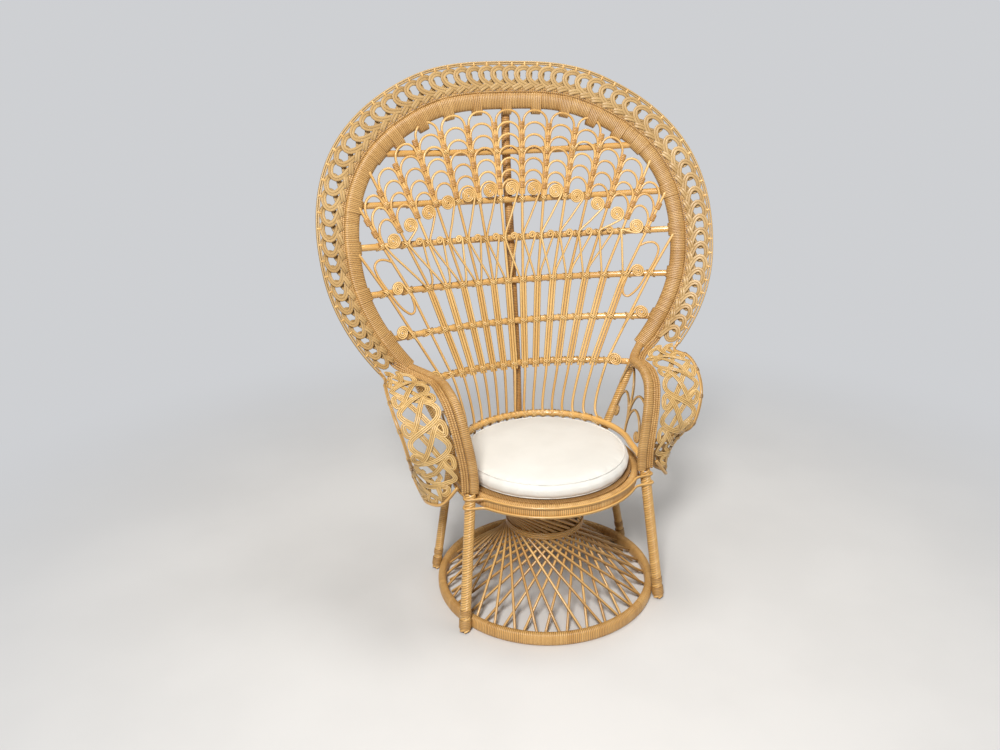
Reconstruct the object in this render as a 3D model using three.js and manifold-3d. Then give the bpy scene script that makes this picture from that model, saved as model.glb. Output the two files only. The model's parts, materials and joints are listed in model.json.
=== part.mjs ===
// A rattan peacock chair: a tall fan back in a wrapped hoop with a looped border,
// two rolled wicker arms, a round seat and an hourglass base of crossed rods.
// Millimetres, +Z up. The sitter faces -Y, and the chair's own left side is +X.

import * as THREE from 'three';
import { mergeVertices } from 'three/addons/utils/BufferGeometryUtils.js';
import Module from 'manifold-3d';

const wasm = await Module();
wasm.setup();

// Clearances
const GAP = 0.3; // between pieces that touch
const RAIL_SEAT = 0.6; // between a stake and the bent rail that it is tied to

// Base
const FLOOR_RING_RADIUS = 326;
const FLOOR_RING_HEIGHT = 38;
const FLOOR_RING_WALL = 22;
const RING_EDGE = 5; // bevel on the corners of the floor ring
const WAIST_RADIUS = 108; // from the axis to the outer rods where the base is narrowest
const WAIST_HEIGHT = 213;
const WAIST_BAND_HEIGHT = 16;
const WAIST_BAND_WALL = 5;
const ROD_COUNT = 30; // in each of the two layers
const ROD_DIAMETER = 7.5;
const ROD_SIDES = 4;
const ROD_SEAT = 4.9; // from the middle of a rod's end to the ring that it meets
const ROD_BITE = 1.2; // how far the waist bands are let into the rods
const LAYER_SLACK = 4.5; // extra room between the layers at the waist, where their sheets bend most
const RING_SEGMENTS = 32;

// Seat
const SEAT_RING_RADIUS = 270;
const SEAT_RING_BOTTOM = 360;
const SEAT_RING_HEIGHT = 35;
const SEAT_RING_WALL = 20;
const SEAT_BEAD = 3; // how far the beading stands out from the seat ring
const SEAT_BEAD_HEIGHT = 8;
const SEAT_PANEL_THICKNESS = 6;
const SEAT_PANEL_DROP = 0.5; // from the seat ring's top to the panel's top
const CUSHION_INSET = 13; // from the seat ring's inner side to the cushion
const CUSHION_THICKNESS = 58;
const CUSHION_WAIST = 7; // how far the cushion's side draws in at its seams
const CUSHION_CROWN = 12; // how far the cushion's middle rises above its edge

// Legs and posts
const FRONT_LEG_DIAMETER = 30;
const REAR_LEG_DIAMETER = 26;
const LEG_TOP = 402;
const FRONT_FOOT_ANGLE = 33; // degrees from the side axis, towards the front
const FRONT_TOP_ANGLE = 29.5;
const REAR_FOOT_ANGLE = 25; // degrees from the side axis, towards the back
const REAR_TOP_ANGLE = 32;
const CENTRE_POST_DIAMETER = 26;

// Back sheet: a cone that opens upwards from the round of the seat
const BACK_FOOT = 448; // height of the lowest rail, where the cone starts
const BACK_FLARE = 1.55; // growth of the radius with height
const BACK_RAKE = 0.133; // lean with height

// Hoop and border, as distances from a hub on the middle line, every 30 degrees from the crown
const HUB_HEIGHT = 950;
const HOOP_RADII = [442, 475, 510, 488, 457, 459, 470];
const RIM_RADII = [546, 581, 611, 573, 523, 505, 500];
const HOOP_STEP = 7.5; // degrees between the samples of the hoop, its trim and the rim
const HOOP_HALF_STEPS = 17;
const RIM_HALF_STEPS = 16;
const HOOP_WIDTH = 46;
const HOOP_THICKNESS = 26;
const HOOP_EDGE = 7;
const HOOP_DEPTH = 4; // middle of the hoop in front of the back sheet
const TRIM_SLACK = 0.8; // clearance where the hoop is not round about its hub
const TRIM_WIDTH = 13;
const TRIM_THICKNESS = 10;
const RIM_WIDTH = 10;
const BORDER_PARTS = 6;
const LOOPS_PER_PART = 10;
const LOOP_ROUTE = [[0.1, 0], [0.4, 0], [0.6, 1], [0.9, 1]]; // along one loop, and from the trim to the rim
const LOOP_STRAND = 7;
const LOOP_STRAND_THICKNESS = 4.5;
const LOOP_SLACK = 0.8; // clearance to the trim and the rim

// Rails, from the top one down
const RAILS_ABOVE_HUB = [301, 162, 50, -78, -203, -336];
const RAIL_DIAMETER = 19;
const RAIL_RISE = 14; // how far a rail's ends rise above its middle
const SEAT_RAIL_END_ANGLE = 117;
const SEAT_RAIL_STEPS = 4; // from the last stake to each end

// Fan
const STAKES_PER_SIDE = 8;
const STAKE_WIDTH = 8;
const REED = 7; // thickness of the stakes, front to back
const FOOT_SHARE = 0.112; // spacing of the stakes at the lowest rail, as a share of its radius
const MIDDLE_SPACING = 47.5; // between stakes at the fourth rail
const TOP_SPACING = 78; // between stakes at the top rail
const OUTER_SPREAD = 48; // extra spread of the outermost stakes at the fourth rail
const BUNDLE_WIDTH = 19; // three reeds side by side
const STAKE_RECESS = 0.2; // how far a stake lies below the faces of its bundle
const SCROLL_REED = 5;
const SCROLL_REED_THICKNESS = 5.5;
const SMALL_SCROLL_RADIUS = 11;
const SMALL_SCROLL_TURNS = 1.25;
const LARGE_SCROLL_RADIUS = 19.5;
const LARGE_SCROLL_TURNS = 2;
const SCROLL_OVER_RAIL = 31; // from the second rail to the middle scroll
const LARGE_SCROLL_DROP = 3.4; // fall of the scroll row, times the square of the cell number
const SCROLL_STEPS = 6; // in a turn
const LAST_SMALL_CELL = 5;
const LAST_LARGE_CELL = 6;
const ARCH_REED = 5.5;
const ARCH_REED_THICKNESS = 5;
const ARCH_RISE = 50;
const ARCH_STEPS = 4;
const ARCHES_IN_MIDDLE = 6;
const ARCH_CLEAR = 16; // from a large scroll's edge to the crown of the arch over it
const SIDE_SCROLL_RADIUS = 14;
const SIDE_SCROLL_STEM = 55;
const SIDE_SCROLLS = [[6.5, 375, -62], [7.5, 376, -184], [7.5, 292, -328]]; // stake, across, above the hub
const LOOP_TOP_ABOVE_HUB = 22; // of the long loop beside the fan
const LOOP_HEIGHT = 157;

// Arms: a path from the hoop's foot forwards and down to the front leg
const ARM_WIDTH = 26;
const ARM_THICKNESS = 22;
const ARM_EDGE = 6;
const ARM_STATIONS = [[293, 50, 662], [283, -40, 662], [273, -98, 638], [262, -126, 588], [250, -139, 520],
  [242, -143, 455]];
const ARM_FOOT_INSET = 10; // from the front leg's middle to the arm's middle
const ARM_SPAN_STEPS = 2; // between two stations
const EDGE_WIDTH = 18; // three reeds along the arm's outer edge
const EDGE_THICKNESS = 8;
const EDGE_SLACK = 0.9; // clearance where the arm bends
const EDGE_LEAD = [13, -38, 1]; // from the hoop's foot to where its trim turns into the arm's edge
const WING_RIM_DIAMETER = 9;
const WING_STRIP_WIDTH = 9;
const WING_STRIP_THICKNESS = 3;
const WING_STRIPS = 7; // in each of the two layers
const WING_LAYER = 2.4; // from the middle of the wing to each layer
const WING_FOLD = 0.38; // share of the rim before it folds back below the arm
const EDGE_FOLD = 0.8; // share of the arm's edge that belongs to it
const WING_SLANT = 0.055; // half of how far a strip runs along the rim while it crosses the wing
// The wing's outer rim rolls forwards over the arm, back below it and forwards again to the leg.
const WING_STATIONS = [[444, 0, 674], [442, -52, 656], [433, -104, 615], [419, -125, 565], [406, -113, 503],
  [393, -35, 447], [381, 55, 391], [372, 74, 352], [360, 20, 327], [354, -60, 345], [325, -125, 372]];
const WING_STEPS = 23;
const ARM_REED = 6;
const ARM_SIDE_FRONT = 130; // the side inside the arm, from the seat's middle forwards
const ARM_SIDE_DEPTH = 280; // from there back to the rear post
const ARM_SIDE_LEAN = 0.12; // outwards with height, at the front
const ARM_SIDE_FLARE = 0.295; // how much more it leans at the rear post
const ARM_ARCH_FOOT = 5; // how far behind the seat's middle the arches inside the arm start
// Arches inside the arm: far foot, foot height, rise
const ARM_ARCHES = [[152, 560, 78], [-135, 500, 88]];
const ARM_COILS = [[112, 490, 70], [-104, 470, 62]];

const RATTAN = new THREE.MeshStandardMaterial({ color: 0xd9a75e, roughness: 0.5 });
const PALE_RATTAN = new THREE.MeshStandardMaterial({ color: 0xe6c184, roughness: 0.5 });
const DARK_RATTAN = new THREE.MeshStandardMaterial({ color: 0xa9762f, roughness: 0.5 });
const CLOTH = new THREE.MeshStandardMaterial({ color: 0xeeebe2, roughness: 0.9 });

// Worked-out sizes
const SEAT_TOP = SEAT_RING_BOTTOM + SEAT_RING_HEIGHT;
const CUSHION_RADIUS = SEAT_RING_RADIUS - SEAT_RING_WALL - CUSHION_INSET;
const BACK_FOOT_RADIUS = SEAT_RING_RADIUS - SEAT_RING_WALL;
const FOOT_SPACING = FOOT_SHARE * BACK_FOOT_RADIUS;
const RAIL_HEIGHTS = RAILS_ABOVE_HUB.map(rise => HUB_HEIGHT + rise);
const LARGE_SCROLL_HEIGHT = RAIL_HEIGHTS[1] + SCROLL_OVER_RAIL;
const LOOP_TOP = HUB_HEIGHT + LOOP_TOP_ABOVE_HUB;
const LOOP_BOTTOM = LOOP_TOP - LOOP_HEIGHT;
const LEG_TOP_CLEAR = SEAT_RING_RADIUS + SEAT_BEAD + GAP;
const STAKE_DEPTH = RAIL_DIAMETER / 2 + RAIL_SEAT + REED / 2;
const FRONT_LAYER = STAKE_DEPTH + REED + GAP;
const LAST_STAKE = STAKES_PER_SIDE - 0.5;
const HOOP_END_ANGLE = HOOP_HALF_STEPS * HOOP_STEP;
const RIM_END_ANGLE = RIM_HALF_STEPS * HOOP_STEP;
const ROD_REACH = ROD_DIAMETER / Math.cos(Math.PI / ROD_SIDES);
const ROD_FOOT = FLOOR_RING_RADIUS - FLOOR_RING_WALL - ROD_SEAT;
const ROD_HEAD = SEAT_RING_RADIUS - SEAT_RING_WALL - ROD_SEAT;
const [TOP_RAIL, , SMALL_SCROLL_RAIL, SPLIT_RAIL, FIFTH_RAIL, SIXTH_RAIL] = RAIL_HEIGHTS;

const chair = new THREE.Group();
const { clamp, lerp, degToRad } = THREE.MathUtils;
const UP = new THREE.Vector3(0, 0, 1);
const SIDEWAYS = new THREE.Vector3(1, 0, 0);
const point = (x, y, z) => new THREE.Vector3(x, y, z);
const around = (radius, degrees, z) => {
  const angle = degToRad(degrees);
  return point(radius * Math.cos(angle), radius * Math.sin(angle), z);
};

// A path with a sample at every given point, and a facing that its section's y axis turns to.
class Route extends THREE.Curve {
  constructor(points, facings) {
    super();
    this.points = points;
    this.facings = facings;
  }

  getSpacedPoints() {
    return this.points;
  }

  computeFrenetFrames() {
    const runs = this.points.slice(1).map((end, i) => end.clone().sub(this.points[i]).normalize());
    const tangents = this.points.map((_, i) => {
      const before = runs[Math.max(i - 1, 0)];
      const after = runs[Math.min(i, runs.length - 1)];
      return before.clone().add(after).normalize();
    });
    const binormals = this.facings.map((facing, i) => {
      return facing.clone().addScaledVector(tangents[i], -facing.dot(tangents[i])).normalize();
    });
    const normals = binormals.map((binormal, i) => binormal.clone().cross(tangents[i]));
    return { tangents, normals, binormals };
  }
}

function tidy(geometry) {
  geometry.deleteAttribute('normal');
  geometry.deleteAttribute('uv');
  return mergeVertices(geometry);
}

function sweep(section, points, facings) {
  const extrudePath = new Route(points, facings);
  return tidy(new THREE.ExtrudeGeometry(section, { steps: points.length - 1, extrudePath }));
}

function pole(section, points, facing = UP) {
  return sweep(section, points, points.map(() => facing));
}

function ring(profile, segments) {
  const points = profile.map(([radius, z]) => new THREE.Vector2(radius, z));
  return tidy(new THREE.LatheGeometry(points, segments).rotateX(Math.PI / 2));
}

function outline(corners) {
  return new THREE.Shape(corners.map(([x, y]) => new THREE.Vector2(x, y)));
}

// A polygon with a flat side towards +y, given by the distance across its flats.
function polygon(across, sides) {
  const reach = across / 2 / Math.cos(Math.PI / sides);
  const corners = Array.from({ length: sides }, (_, i) => {
    const angle = Math.PI / 2 + (2 * i + 1) * Math.PI / sides;
    return [reach * Math.cos(angle), reach * Math.sin(angle)];
  });
  return outline(corners);
}

function flat(width, thickness) {
  const x = width / 2;
  const y = thickness / 2;
  return outline([[-x, -y], [x, -y], [x, y], [-x, y]]);
}

// A split reed: flat behind, ridged in front.
function splitReed(width, thickness) {
  return outline([[-width / 2, -thickness / 2], [width / 2, -thickness / 2], [0, thickness / 2]]);
}

function bevelled(width, thickness, edge) {
  const x = width / 2;
  const y = thickness / 2;
  return outline([[x - edge, -y], [x, edge - y], [x, y - edge], [x - edge, y], [edge - x, y], [-x, y - edge],
    [-x, edge - y], [edge - x, -y]]);
}

function solid(geometry) {
  const vertProperties = new Float32Array(geometry.attributes.position.array);
  const triVerts = new Uint32Array(geometry.index.array);
  return new wasm.Manifold(new wasm.Mesh({ numProp: 3, vertProperties, triVerts }));
}

function shell(manifold) {
  const mesh = manifold.getMesh();
  const geometry = new THREE.BufferGeometry();
  geometry.setAttribute('position', new THREE.BufferAttribute(mesh.vertProperties, mesh.numProp));
  geometry.setIndex(new THREE.BufferAttribute(mesh.triVerts, 1));
  return geometry;
}

function joined(geometries, cutters = []) {
  const whole = geometries.map(solid).reduce((sum, next) => sum.add(next));
  return shell(cutters.reduce((rest, cutter) => rest.subtract(cutter), whole));
}

function mirrored(geometry) {
  const copy = geometry.clone().scale(-1, 1, 1);
  const index = copy.index.array;
  for (let i = 0; i < index.length; i += 3) [index[i], index[i + 1]] = [index[i + 1], index[i]];
  return copy;
}

function add(name, geometry, material = RATTAN) {
  const mesh = new THREE.Mesh(geometry, material);
  mesh.name = name;
  chair.add(mesh);
}

function addPair(name, geometry, material = RATTAN) {
  add(`${name}_left`, geometry, material);
  add(`${name}_right`, mirrored(geometry), material);
}

// Back sheet, by the angle round the cone or by the distance across the chair.
function backRadius(z) {
  return BACK_FOOT_RADIUS + BACK_FLARE * Math.max(0, z - BACK_FOOT);
}

function backAngle(x, z) {
  return Math.asin(x / backRadius(z));
}

function backFacing(angle, z) {
  const flare = z > BACK_FOOT ? BACK_FLARE : 0;
  const rake = z > BACK_FOOT ? BACK_RAKE : 0;
  const across = point(Math.cos(angle), -Math.sin(angle), 0);
  const upwards = point(flare * Math.sin(angle), rake - flare * (1 - Math.cos(angle)), 1);
  return across.cross(upwards).normalize();
}

function backPolar(angle, z, depth) {
  const radius = backRadius(z);
  const lean = (BACK_RAKE - BACK_FLARE) * Math.max(0, z - BACK_FOOT);
  const place = point(radius * Math.sin(angle), radius * Math.cos(angle) + lean, z);
  return place.addScaledVector(backFacing(angle, z), depth);
}

// A sweep over the back sheet, from samples of [across, height, depth].
function backSweep(section, samples) {
  const points = samples.map(([x, z, depth]) => backPolar(backAngle(x, z), z, depth));
  const facings = samples.map(([x, z]) => backFacing(backAngle(x, z), z));
  return sweep(section, points, facings);
}

// Outlines of the hoop and the rim about the hub
function roundedOutline(radii) {
  const stations = [];
  const last = radii.length - 1;
  for (let i = -last; i <= last; i++) stations.push(new THREE.Vector2(i, radii[Math.abs(i)]));
  const spline = new THREE.SplineCurve(stations);
  return degrees => spline.getPoint((degrees + 180) / 360).y;
}

const hoopRadius = roundedOutline(HOOP_RADII);
const rimRadius = roundedOutline(RIM_RADII);
const aboutHub = (radius, degrees) => {
  const angle = degToRad(degrees);
  return [radius * Math.sin(angle), HUB_HEIGHT + radius * Math.cos(angle)];
};

// Length on the slanting back sheet of one millimetre away from the hub, seen from the front.
function sheetStretch(radius, degrees) {
  const [near, far] = [radius, radius + 1].map(reach => {
    const [x, z] = aboutHub(reach, degrees);
    return backPolar(backAngle(x, z), z, 0);
  });
  return near.distanceTo(far);
}

// Radius of the straight run between two samples of an outline.
function chordRadius(radiusAt, degrees) {
  const before = HOOP_STEP * Math.floor(degrees / HOOP_STEP);
  const ends = [before, before + HOOP_STEP].map(angle => {
    return new THREE.Vector2(0, radiusAt(angle)).rotateAround(new THREE.Vector2(), degToRad(-angle));
  });
  const run = ends[1].clone().sub(ends[0]);
  const ray = new THREE.Vector2(0, 1).rotateAround(new THREE.Vector2(), degToRad(-degrees));
  return ends[0].cross(run) / ray.cross(run);
}

// How far a point of the back lies inside the hoop's inner edge.
function hoopMargin(x, z) {
  const degrees = Math.atan2(x, z - HUB_HEIGHT) / degToRad(1);
  return hoopRadius(degrees) - HOOP_WIDTH / 2 - Math.hypot(x, z - HUB_HEIGHT);
}

function hoopSweep(section, radiusAt, halfSteps, extra = 0) {
  const samples = [];
  for (let i = -halfSteps; i <= halfSteps; i++) {
    const degrees = HOOP_STEP * i + Math.sign(i) * (Math.abs(i) === halfSteps ? extra : 0);
    samples.push([...aboutHub(radiusAt(degrees), degrees), HOOP_DEPTH]);
  }
  return backSweep(section, samples);
}

// Base rings and rods
function floorRingProfile() {
  const outer = FLOOR_RING_RADIUS;
  const inner = outer - FLOOR_RING_WALL;
  const top = FLOOR_RING_HEIGHT;
  return [[inner, 0], [outer, 0], [outer, top - RING_EDGE], [outer - RING_EDGE, top], [inner + RING_EDGE, top],
    [inner, top - RING_EDGE], [inner, 0]];
}

function seatRingProfile() {
  const outer = SEAT_RING_RADIUS;
  const inner = outer - SEAT_RING_WALL;
  const bottom = SEAT_RING_BOTTOM;
  const bead = outer + SEAT_BEAD;
  return [[inner, bottom], [outer, bottom], [bead, bottom + SEAT_BEAD_HEIGHT / 2], [outer, bottom + SEAT_BEAD_HEIGHT],
    [outer, SEAT_TOP - SEAT_BEAD_HEIGHT], [bead, SEAT_TOP - SEAT_BEAD_HEIGHT / 2], [outer, SEAT_TOP],
    [inner, SEAT_TOP], [inner, bottom]];
}

function waistProfile(inner, outer) {
  const bottom = WAIST_HEIGHT - WAIST_BAND_HEIGHT / 2;
  const top = WAIST_HEIGHT + WAIST_BAND_HEIGHT / 2;
  return [[inner, bottom], [outer, bottom], [outer, top], [inner, top], [inner, bottom]];
}

// One layer of straight rods that all touch a waist circle, each running sideways as it rises.
function rodLayer(waistRadius, run, hand, band) {
  const risesTo = radius => Math.sqrt(radius ** 2 - waistRadius ** 2) / run;
  const low = -risesTo(ROD_FOOT);
  const high = risesTo(ROD_HEAD);
  const rods = [band];
  for (let i = 0; i < ROD_COUNT; i++) {
    const angle = 2 * Math.PI * i / ROD_COUNT;
    const at = rise => point(
      waistRadius * Math.cos(angle) - hand * run * rise * Math.sin(angle),
      waistRadius * Math.sin(angle) + hand * run * rise * Math.cos(angle),
      WAIST_HEIGHT + rise,
    );
    rods.push(pole(polygon(ROD_DIAMETER, ROD_SIDES), [at(low), at(high)]));
  }
  return joined(rods, [FLOOR_TRIM, SEAT_TRIM]);
}

// The sideways run that keeps the inner layer a rod's thickness inside the outer one at every height.
function innerRun(outerRun, innerWaist) {
  const reach = Math.max(WAIST_HEIGHT, SEAT_TOP - WAIST_HEIGHT);
  let run = outerRun;
  for (let rise = reach / 10; rise <= reach; rise += reach / 10) {
    const radius = Math.hypot(WAIST_RADIUS, outerRun * rise);
    const slope = outerRun ** 2 * rise / radius;
    const allowed = radius - (ROD_REACH + GAP) * Math.hypot(1, slope);
    run = Math.min(run, Math.sqrt(allowed ** 2 - innerWaist ** 2) / rise);
  }
  return run;
}

function buildBase() {
  add('floor_ring', ring(floorRingProfile(), RING_SEGMENTS));
  const outerRun = Math.sqrt(ROD_FOOT ** 2 - WAIST_RADIUS ** 2) / (WAIST_HEIGHT - FLOOR_RING_HEIGHT / 2);
  const outerInside = WAIST_RADIUS + ROD_DIAMETER / 2 - ROD_BITE;
  const outerBand = ring(waistProfile(outerInside, outerInside + WAIST_BAND_WALL), ROD_COUNT);
  add('base_rods_outer', rodLayer(WAIST_RADIUS, outerRun, -1, outerBand), PALE_RATTAN);

  const innerWaist = WAIST_RADIUS - ROD_REACH - GAP - LAYER_SLACK;
  const innerOutside = innerWaist - ROD_DIAMETER / 2 + ROD_BITE;
  const innerBand = ring(waistProfile(innerOutside - WAIST_BAND_WALL, innerOutside), ROD_COUNT);
  add('base_rods_inner', rodLayer(innerWaist, innerRun(outerRun, innerWaist), 1, innerBand), PALE_RATTAN);
}

// Seat
function buildSeat() {
  add('seat_ring', ring(seatRingProfile(), RING_SEGMENTS));
  const panelRadius = SEAT_RING_RADIUS - SEAT_RING_WALL - GAP;
  const panelTop = SEAT_TOP - SEAT_PANEL_DROP;
  const panelBottom = panelTop - SEAT_PANEL_THICKNESS;
  add('seat_panel', ring([[0, panelBottom], [panelRadius, panelBottom], [panelRadius, panelTop], [0, panelTop]],
    RING_SEGMENTS));

  const low = panelTop + GAP;
  const side = CUSHION_THICKNESS - CUSHION_CROWN;
  const lip = CUSHION_RADIUS - CUSHION_WAIST;
  const profile = [[0, low], [0.85 * CUSHION_RADIUS, low], [lip, low + 0.1 * side],
    [CUSHION_RADIUS, low + 0.35 * side], [CUSHION_RADIUS, low + 0.65 * side], [lip, low + 0.9 * side],
    [0.85 * CUSHION_RADIUS, low + side], [0.6 * CUSHION_RADIUS, low + side + 0.6 * CUSHION_CROWN],
    [0.3 * CUSHION_RADIUS, low + side + 0.92 * CUSHION_CROWN], [0, low + CUSHION_THICKNESS]];
  add('cushion', ring(profile, RING_SEGMENTS), CLOTH);
}

// Legs: each leans against the floor ring's outer edge and stands outside the seat ring.
function legEnds(diameter, footAngle, topAngle) {
  const topRadius = LEG_TOP_CLEAR + diameter / 2 / Math.cos(Math.PI / 8);
  const share = FLOOR_RING_HEIGHT / LEG_TOP;
  const reach = FLOOR_RING_RADIUS + GAP + 1.02 * diameter / 2 / Math.cos(Math.PI / 8);
  const footRadius = (reach - topRadius * share) / (1 - share);
  return [around(footRadius, footAngle, 0), around(topRadius, topAngle, LEG_TOP)];
}

const [FRONT_FOOT, FRONT_LEG_HEAD] = legEnds(FRONT_LEG_DIAMETER, -FRONT_FOOT_ANGLE, -FRONT_TOP_ANGLE);
const [REAR_FOOT, REAR_LEG_HEAD] = legEnds(REAR_LEG_DIAMETER, REAR_FOOT_ANGLE, REAR_TOP_ANGLE);

// A block that trims everything between two heights.
function trimBlock(low, high) {
  const block = new THREE.BoxGeometry(4 * FLOOR_RING_RADIUS, 4 * FLOOR_RING_RADIUS, high - low);
  return solid(tidy(block.translate(0, 0, (low + high) / 2)));
}

const FLOOR_TRIM = trimBlock(-SEAT_TOP, 0);
const SEAT_TRIM = trimBlock(SEAT_TOP - SEAT_PANEL_DROP - SEAT_PANEL_THICKNESS - GAP, 2 * SEAT_TOP);
const LEG_TOP_TRIM = trimBlock(LEG_TOP, LEG_TOP + SEAT_TOP);
const ARM_FOOT_TRIM = trimBlock(0, LEG_TOP + GAP);

function leg(diameter, foot, head) {
  const overrun = head.clone().sub(foot).multiplyScalar(diameter / LEG_TOP);
  const ends = [foot.clone().sub(overrun), head.clone().add(overrun)];
  return joined([pole(polygon(diameter, 8), ends)], [FLOOR_TRIM, LEG_TOP_TRIM]);
}

function buildLegs() {
  addPair('front_leg', leg(FRONT_LEG_DIAMETER, FRONT_FOOT, FRONT_LEG_HEAD));
  addPair('rear_leg', leg(REAR_LEG_DIAMETER, REAR_FOOT, REAR_LEG_HEAD));
}

// Hoop, border and rim
const hoopSection = grow => bevelled(HOOP_WIDTH + 2 * grow, HOOP_THICKNESS + 2 * grow, HOOP_EDGE);
const HOOP_CUTTER = solid(hoopSweep(hoopSection(GAP), hoopRadius, HOOP_HALF_STEPS, 0.05));
const trimRadius = degrees => {
  const radius = hoopRadius(degrees);
  return radius + (HOOP_WIDTH / 2 + TRIM_SLACK + TRIM_WIDTH / 2) / sheetStretch(radius, degrees);
};

function loopStrand(part) {
  const span = 2 * RIM_END_ANGLE / BORDER_PARTS;
  const start = part * span - RIM_END_ANGLE;
  const samples = [];
  for (let loop = 0; loop < LOOPS_PER_PART; loop++) {
    for (const [along, share] of LOOP_ROUTE) {
      const degrees = start + span * (loop + along) / LOOPS_PER_PART;
      const stretch = sheetStretch(trimRadius(degrees), degrees);
      const inner = chordRadius(trimRadius, degrees) + ((TRIM_WIDTH + LOOP_STRAND) / 2 + LOOP_SLACK) / stretch;
      const outer = chordRadius(rimRadius, degrees) - ((RIM_WIDTH + LOOP_STRAND) / 2 + LOOP_SLACK) / stretch;
      samples.push([...aboutHub(lerp(inner, outer, share), degrees), HOOP_DEPTH]);
    }
  }
  return backSweep(splitReed(LOOP_STRAND, LOOP_STRAND_THICKNESS), samples);
}

function buildHoop() {
  add('main_hoop', hoopSweep(hoopSection(0), hoopRadius, HOOP_HALF_STEPS));
  add('hoop_trim', hoopSweep(flat(TRIM_WIDTH, TRIM_THICKNESS), trimRadius, RIM_HALF_STEPS), DARK_RATTAN);
  add('outer_rim', hoopSweep(polygon(RIM_WIDTH, 5), rimRadius, RIM_HALF_STEPS), PALE_RATTAN);
  for (let part = 0; part < BORDER_PARTS; part++) add(`border_loops_${part + 1}`, loopStrand(part), PALE_RATTAN);
}

// Fan lattice: whole numbers are cells, halves are stakes, counted from the middle line.
function stakeSpacing(z) {
  if (z < SPLIT_RAIL) return lerp(FOOT_SPACING, MIDDLE_SPACING, (z - BACK_FOOT) / (SPLIT_RAIL - BACK_FOOT));
  return lerp(MIDDLE_SPACING, TOP_SPACING, (z - SPLIT_RAIL) / (TOP_RAIL - SPLIT_RAIL));
}

function fanX(place, z) {
  const spread = OUTER_SPREAD * clamp((z - SIXTH_RAIL) / (SPLIT_RAIL - SIXTH_RAIL), 0, 1);
  return stakeSpacing(z) * place + Math.sign(place) * spread * (place / LAST_STAKE) ** 4;
}

const railZ = (height, x) => height + RAIL_RISE * (x / hoopRadius(90)) ** 2;

// Where a rail that starts inside the hoop is well under the hoop's winding.
function hoopEnd(start, height) {
  let end = start;
  while (hoopMargin(end, height) > -HOOP_WIDTH / 4) end += GAP;
  return end;
}

function buildRails() {
  const section = polygon(RAIL_DIAMETER, 6);
  RAIL_HEIGHTS.forEach((height, i) => {
    const half = [];
    for (let place = 0.5; place < STAKES_PER_SIDE + 2; place++) {
      const x = fanX(place, height);
      if (hoopMargin(x, height) < 0) break;
      half.push(x);
    }
    half.push(height < HOOP_FOOT.z ? postAt(height).x - REAR_LEG_DIAMETER / 3 : hoopEnd(half.at(-1), height));
    const across = [...half.map(x => -x).reverse(), ...half];
    const samples = across.map(x => [x, railZ(height, x), 0]);
    add(`rail_${i + 1}`, joined([backSweep(section, samples)], [HOOP_CUTTER, ...POST_CUTTERS]));
  });

  const half = Array.from({ length: STAKES_PER_SIDE }, (_, i) => backAngle(fanX(i + 0.5, BACK_FOOT), BACK_FOOT));
  const lastStake = half.at(-1);
  const end = degToRad(SEAT_RAIL_END_ANGLE);
  for (let i = 1; i <= SEAT_RAIL_STEPS; i++) half.push(lerp(lastStake, end, i / SEAT_RAIL_STEPS));
  const angles = [...half.map(angle => -angle).reverse(), ...half];
  const points = angles.map(angle => backPolar(angle, BACK_FOOT, 0));
  const facings = angles.map(angle => backFacing(angle, BACK_FOOT));
  add('seat_rail', joined([sweep(section, points, facings)], ARM_CUTTERS));
}

function buildCentrePost() {
  const outside = LEG_TOP_CLEAR + CENTRE_POST_DIAMETER / 2 - BACK_FOOT_RADIUS;
  const behindStakes = STAKE_DEPTH + (REED + CENTRE_POST_DIAMETER) / 2 + GAP;
  const behindRails = (RAIL_DIAMETER + CENTRE_POST_DIAMETER) / 2 + RAIL_SEAT;
  const samples = [[0, SEAT_RING_BOTTOM, -outside], [0, SEAT_TOP, -outside],
    [0, BACK_FOOT, -Math.max(behindStakes, outside)], [0, SIXTH_RAIL, -behindRails], [0, TOP_RAIL, -behindRails],
    [0, HUB_HEIGHT + hoopRadius(0), HOOP_DEPTH - HOOP_THICKNESS / 2]];
  add('centre_post', joined([backSweep(polygon(CENTRE_POST_DIAMETER, 8), samples)], [HOOP_CUTTER]), DARK_RATTAN);
}

// Samples of a coil that starts at its right side and winds up and inwards.
function coil(x, z, radius, turns, depth) {
  const steps = Math.round(turns * SCROLL_STEPS);
  return Array.from({ length: steps + 1 }, (_, i) => {
    const angle = 2 * Math.PI * i / SCROLL_STEPS;
    const reach = radius * (1 - 0.87 * i / steps);
    return [x + reach * Math.cos(angle), z + reach * Math.sin(angle), depth];
  });
}

const onRail = (place, height) => railZ(height, fanX(place, height));

// The single reed from the seat ring up to the sixth rail, behind the seat rail and in front of the others.
function lowerStake(place) {
  const x = fanX(place, BACK_FOOT);
  const sixth = onRail(place, SIXTH_RAIL);
  return [[x, SEAT_TOP + GAP, -STAKE_DEPTH], [x, BACK_FOOT, -STAKE_DEPTH],
    [x, BACK_FOOT + RAIL_DIAMETER, -STAKE_DEPTH],
    [fanX(place, sixth - 1.5 * RAIL_DIAMETER), sixth - 1.5 * RAIL_DIAMETER, STAKE_DEPTH],
    [fanX(place, sixth), sixth, STAKE_DEPTH]];
}

// The single reed from a rail up to the hoop.
function upperStake(place, rails) {
  const heights = rails.map(height => onRail(place, height));
  heights.push(HUB_HEIGHT + hoopRadius(0));
  const samples = [];
  for (const height of heights) {
    let z = height;
    while (hoopMargin(fanX(place, z), z) < -HOOP_WIDTH / 4) z -= GAP;
    samples.push([fanX(place, z), z, STAKE_DEPTH]);
    if (z < height) break;
  }
  return samples;
}

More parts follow.
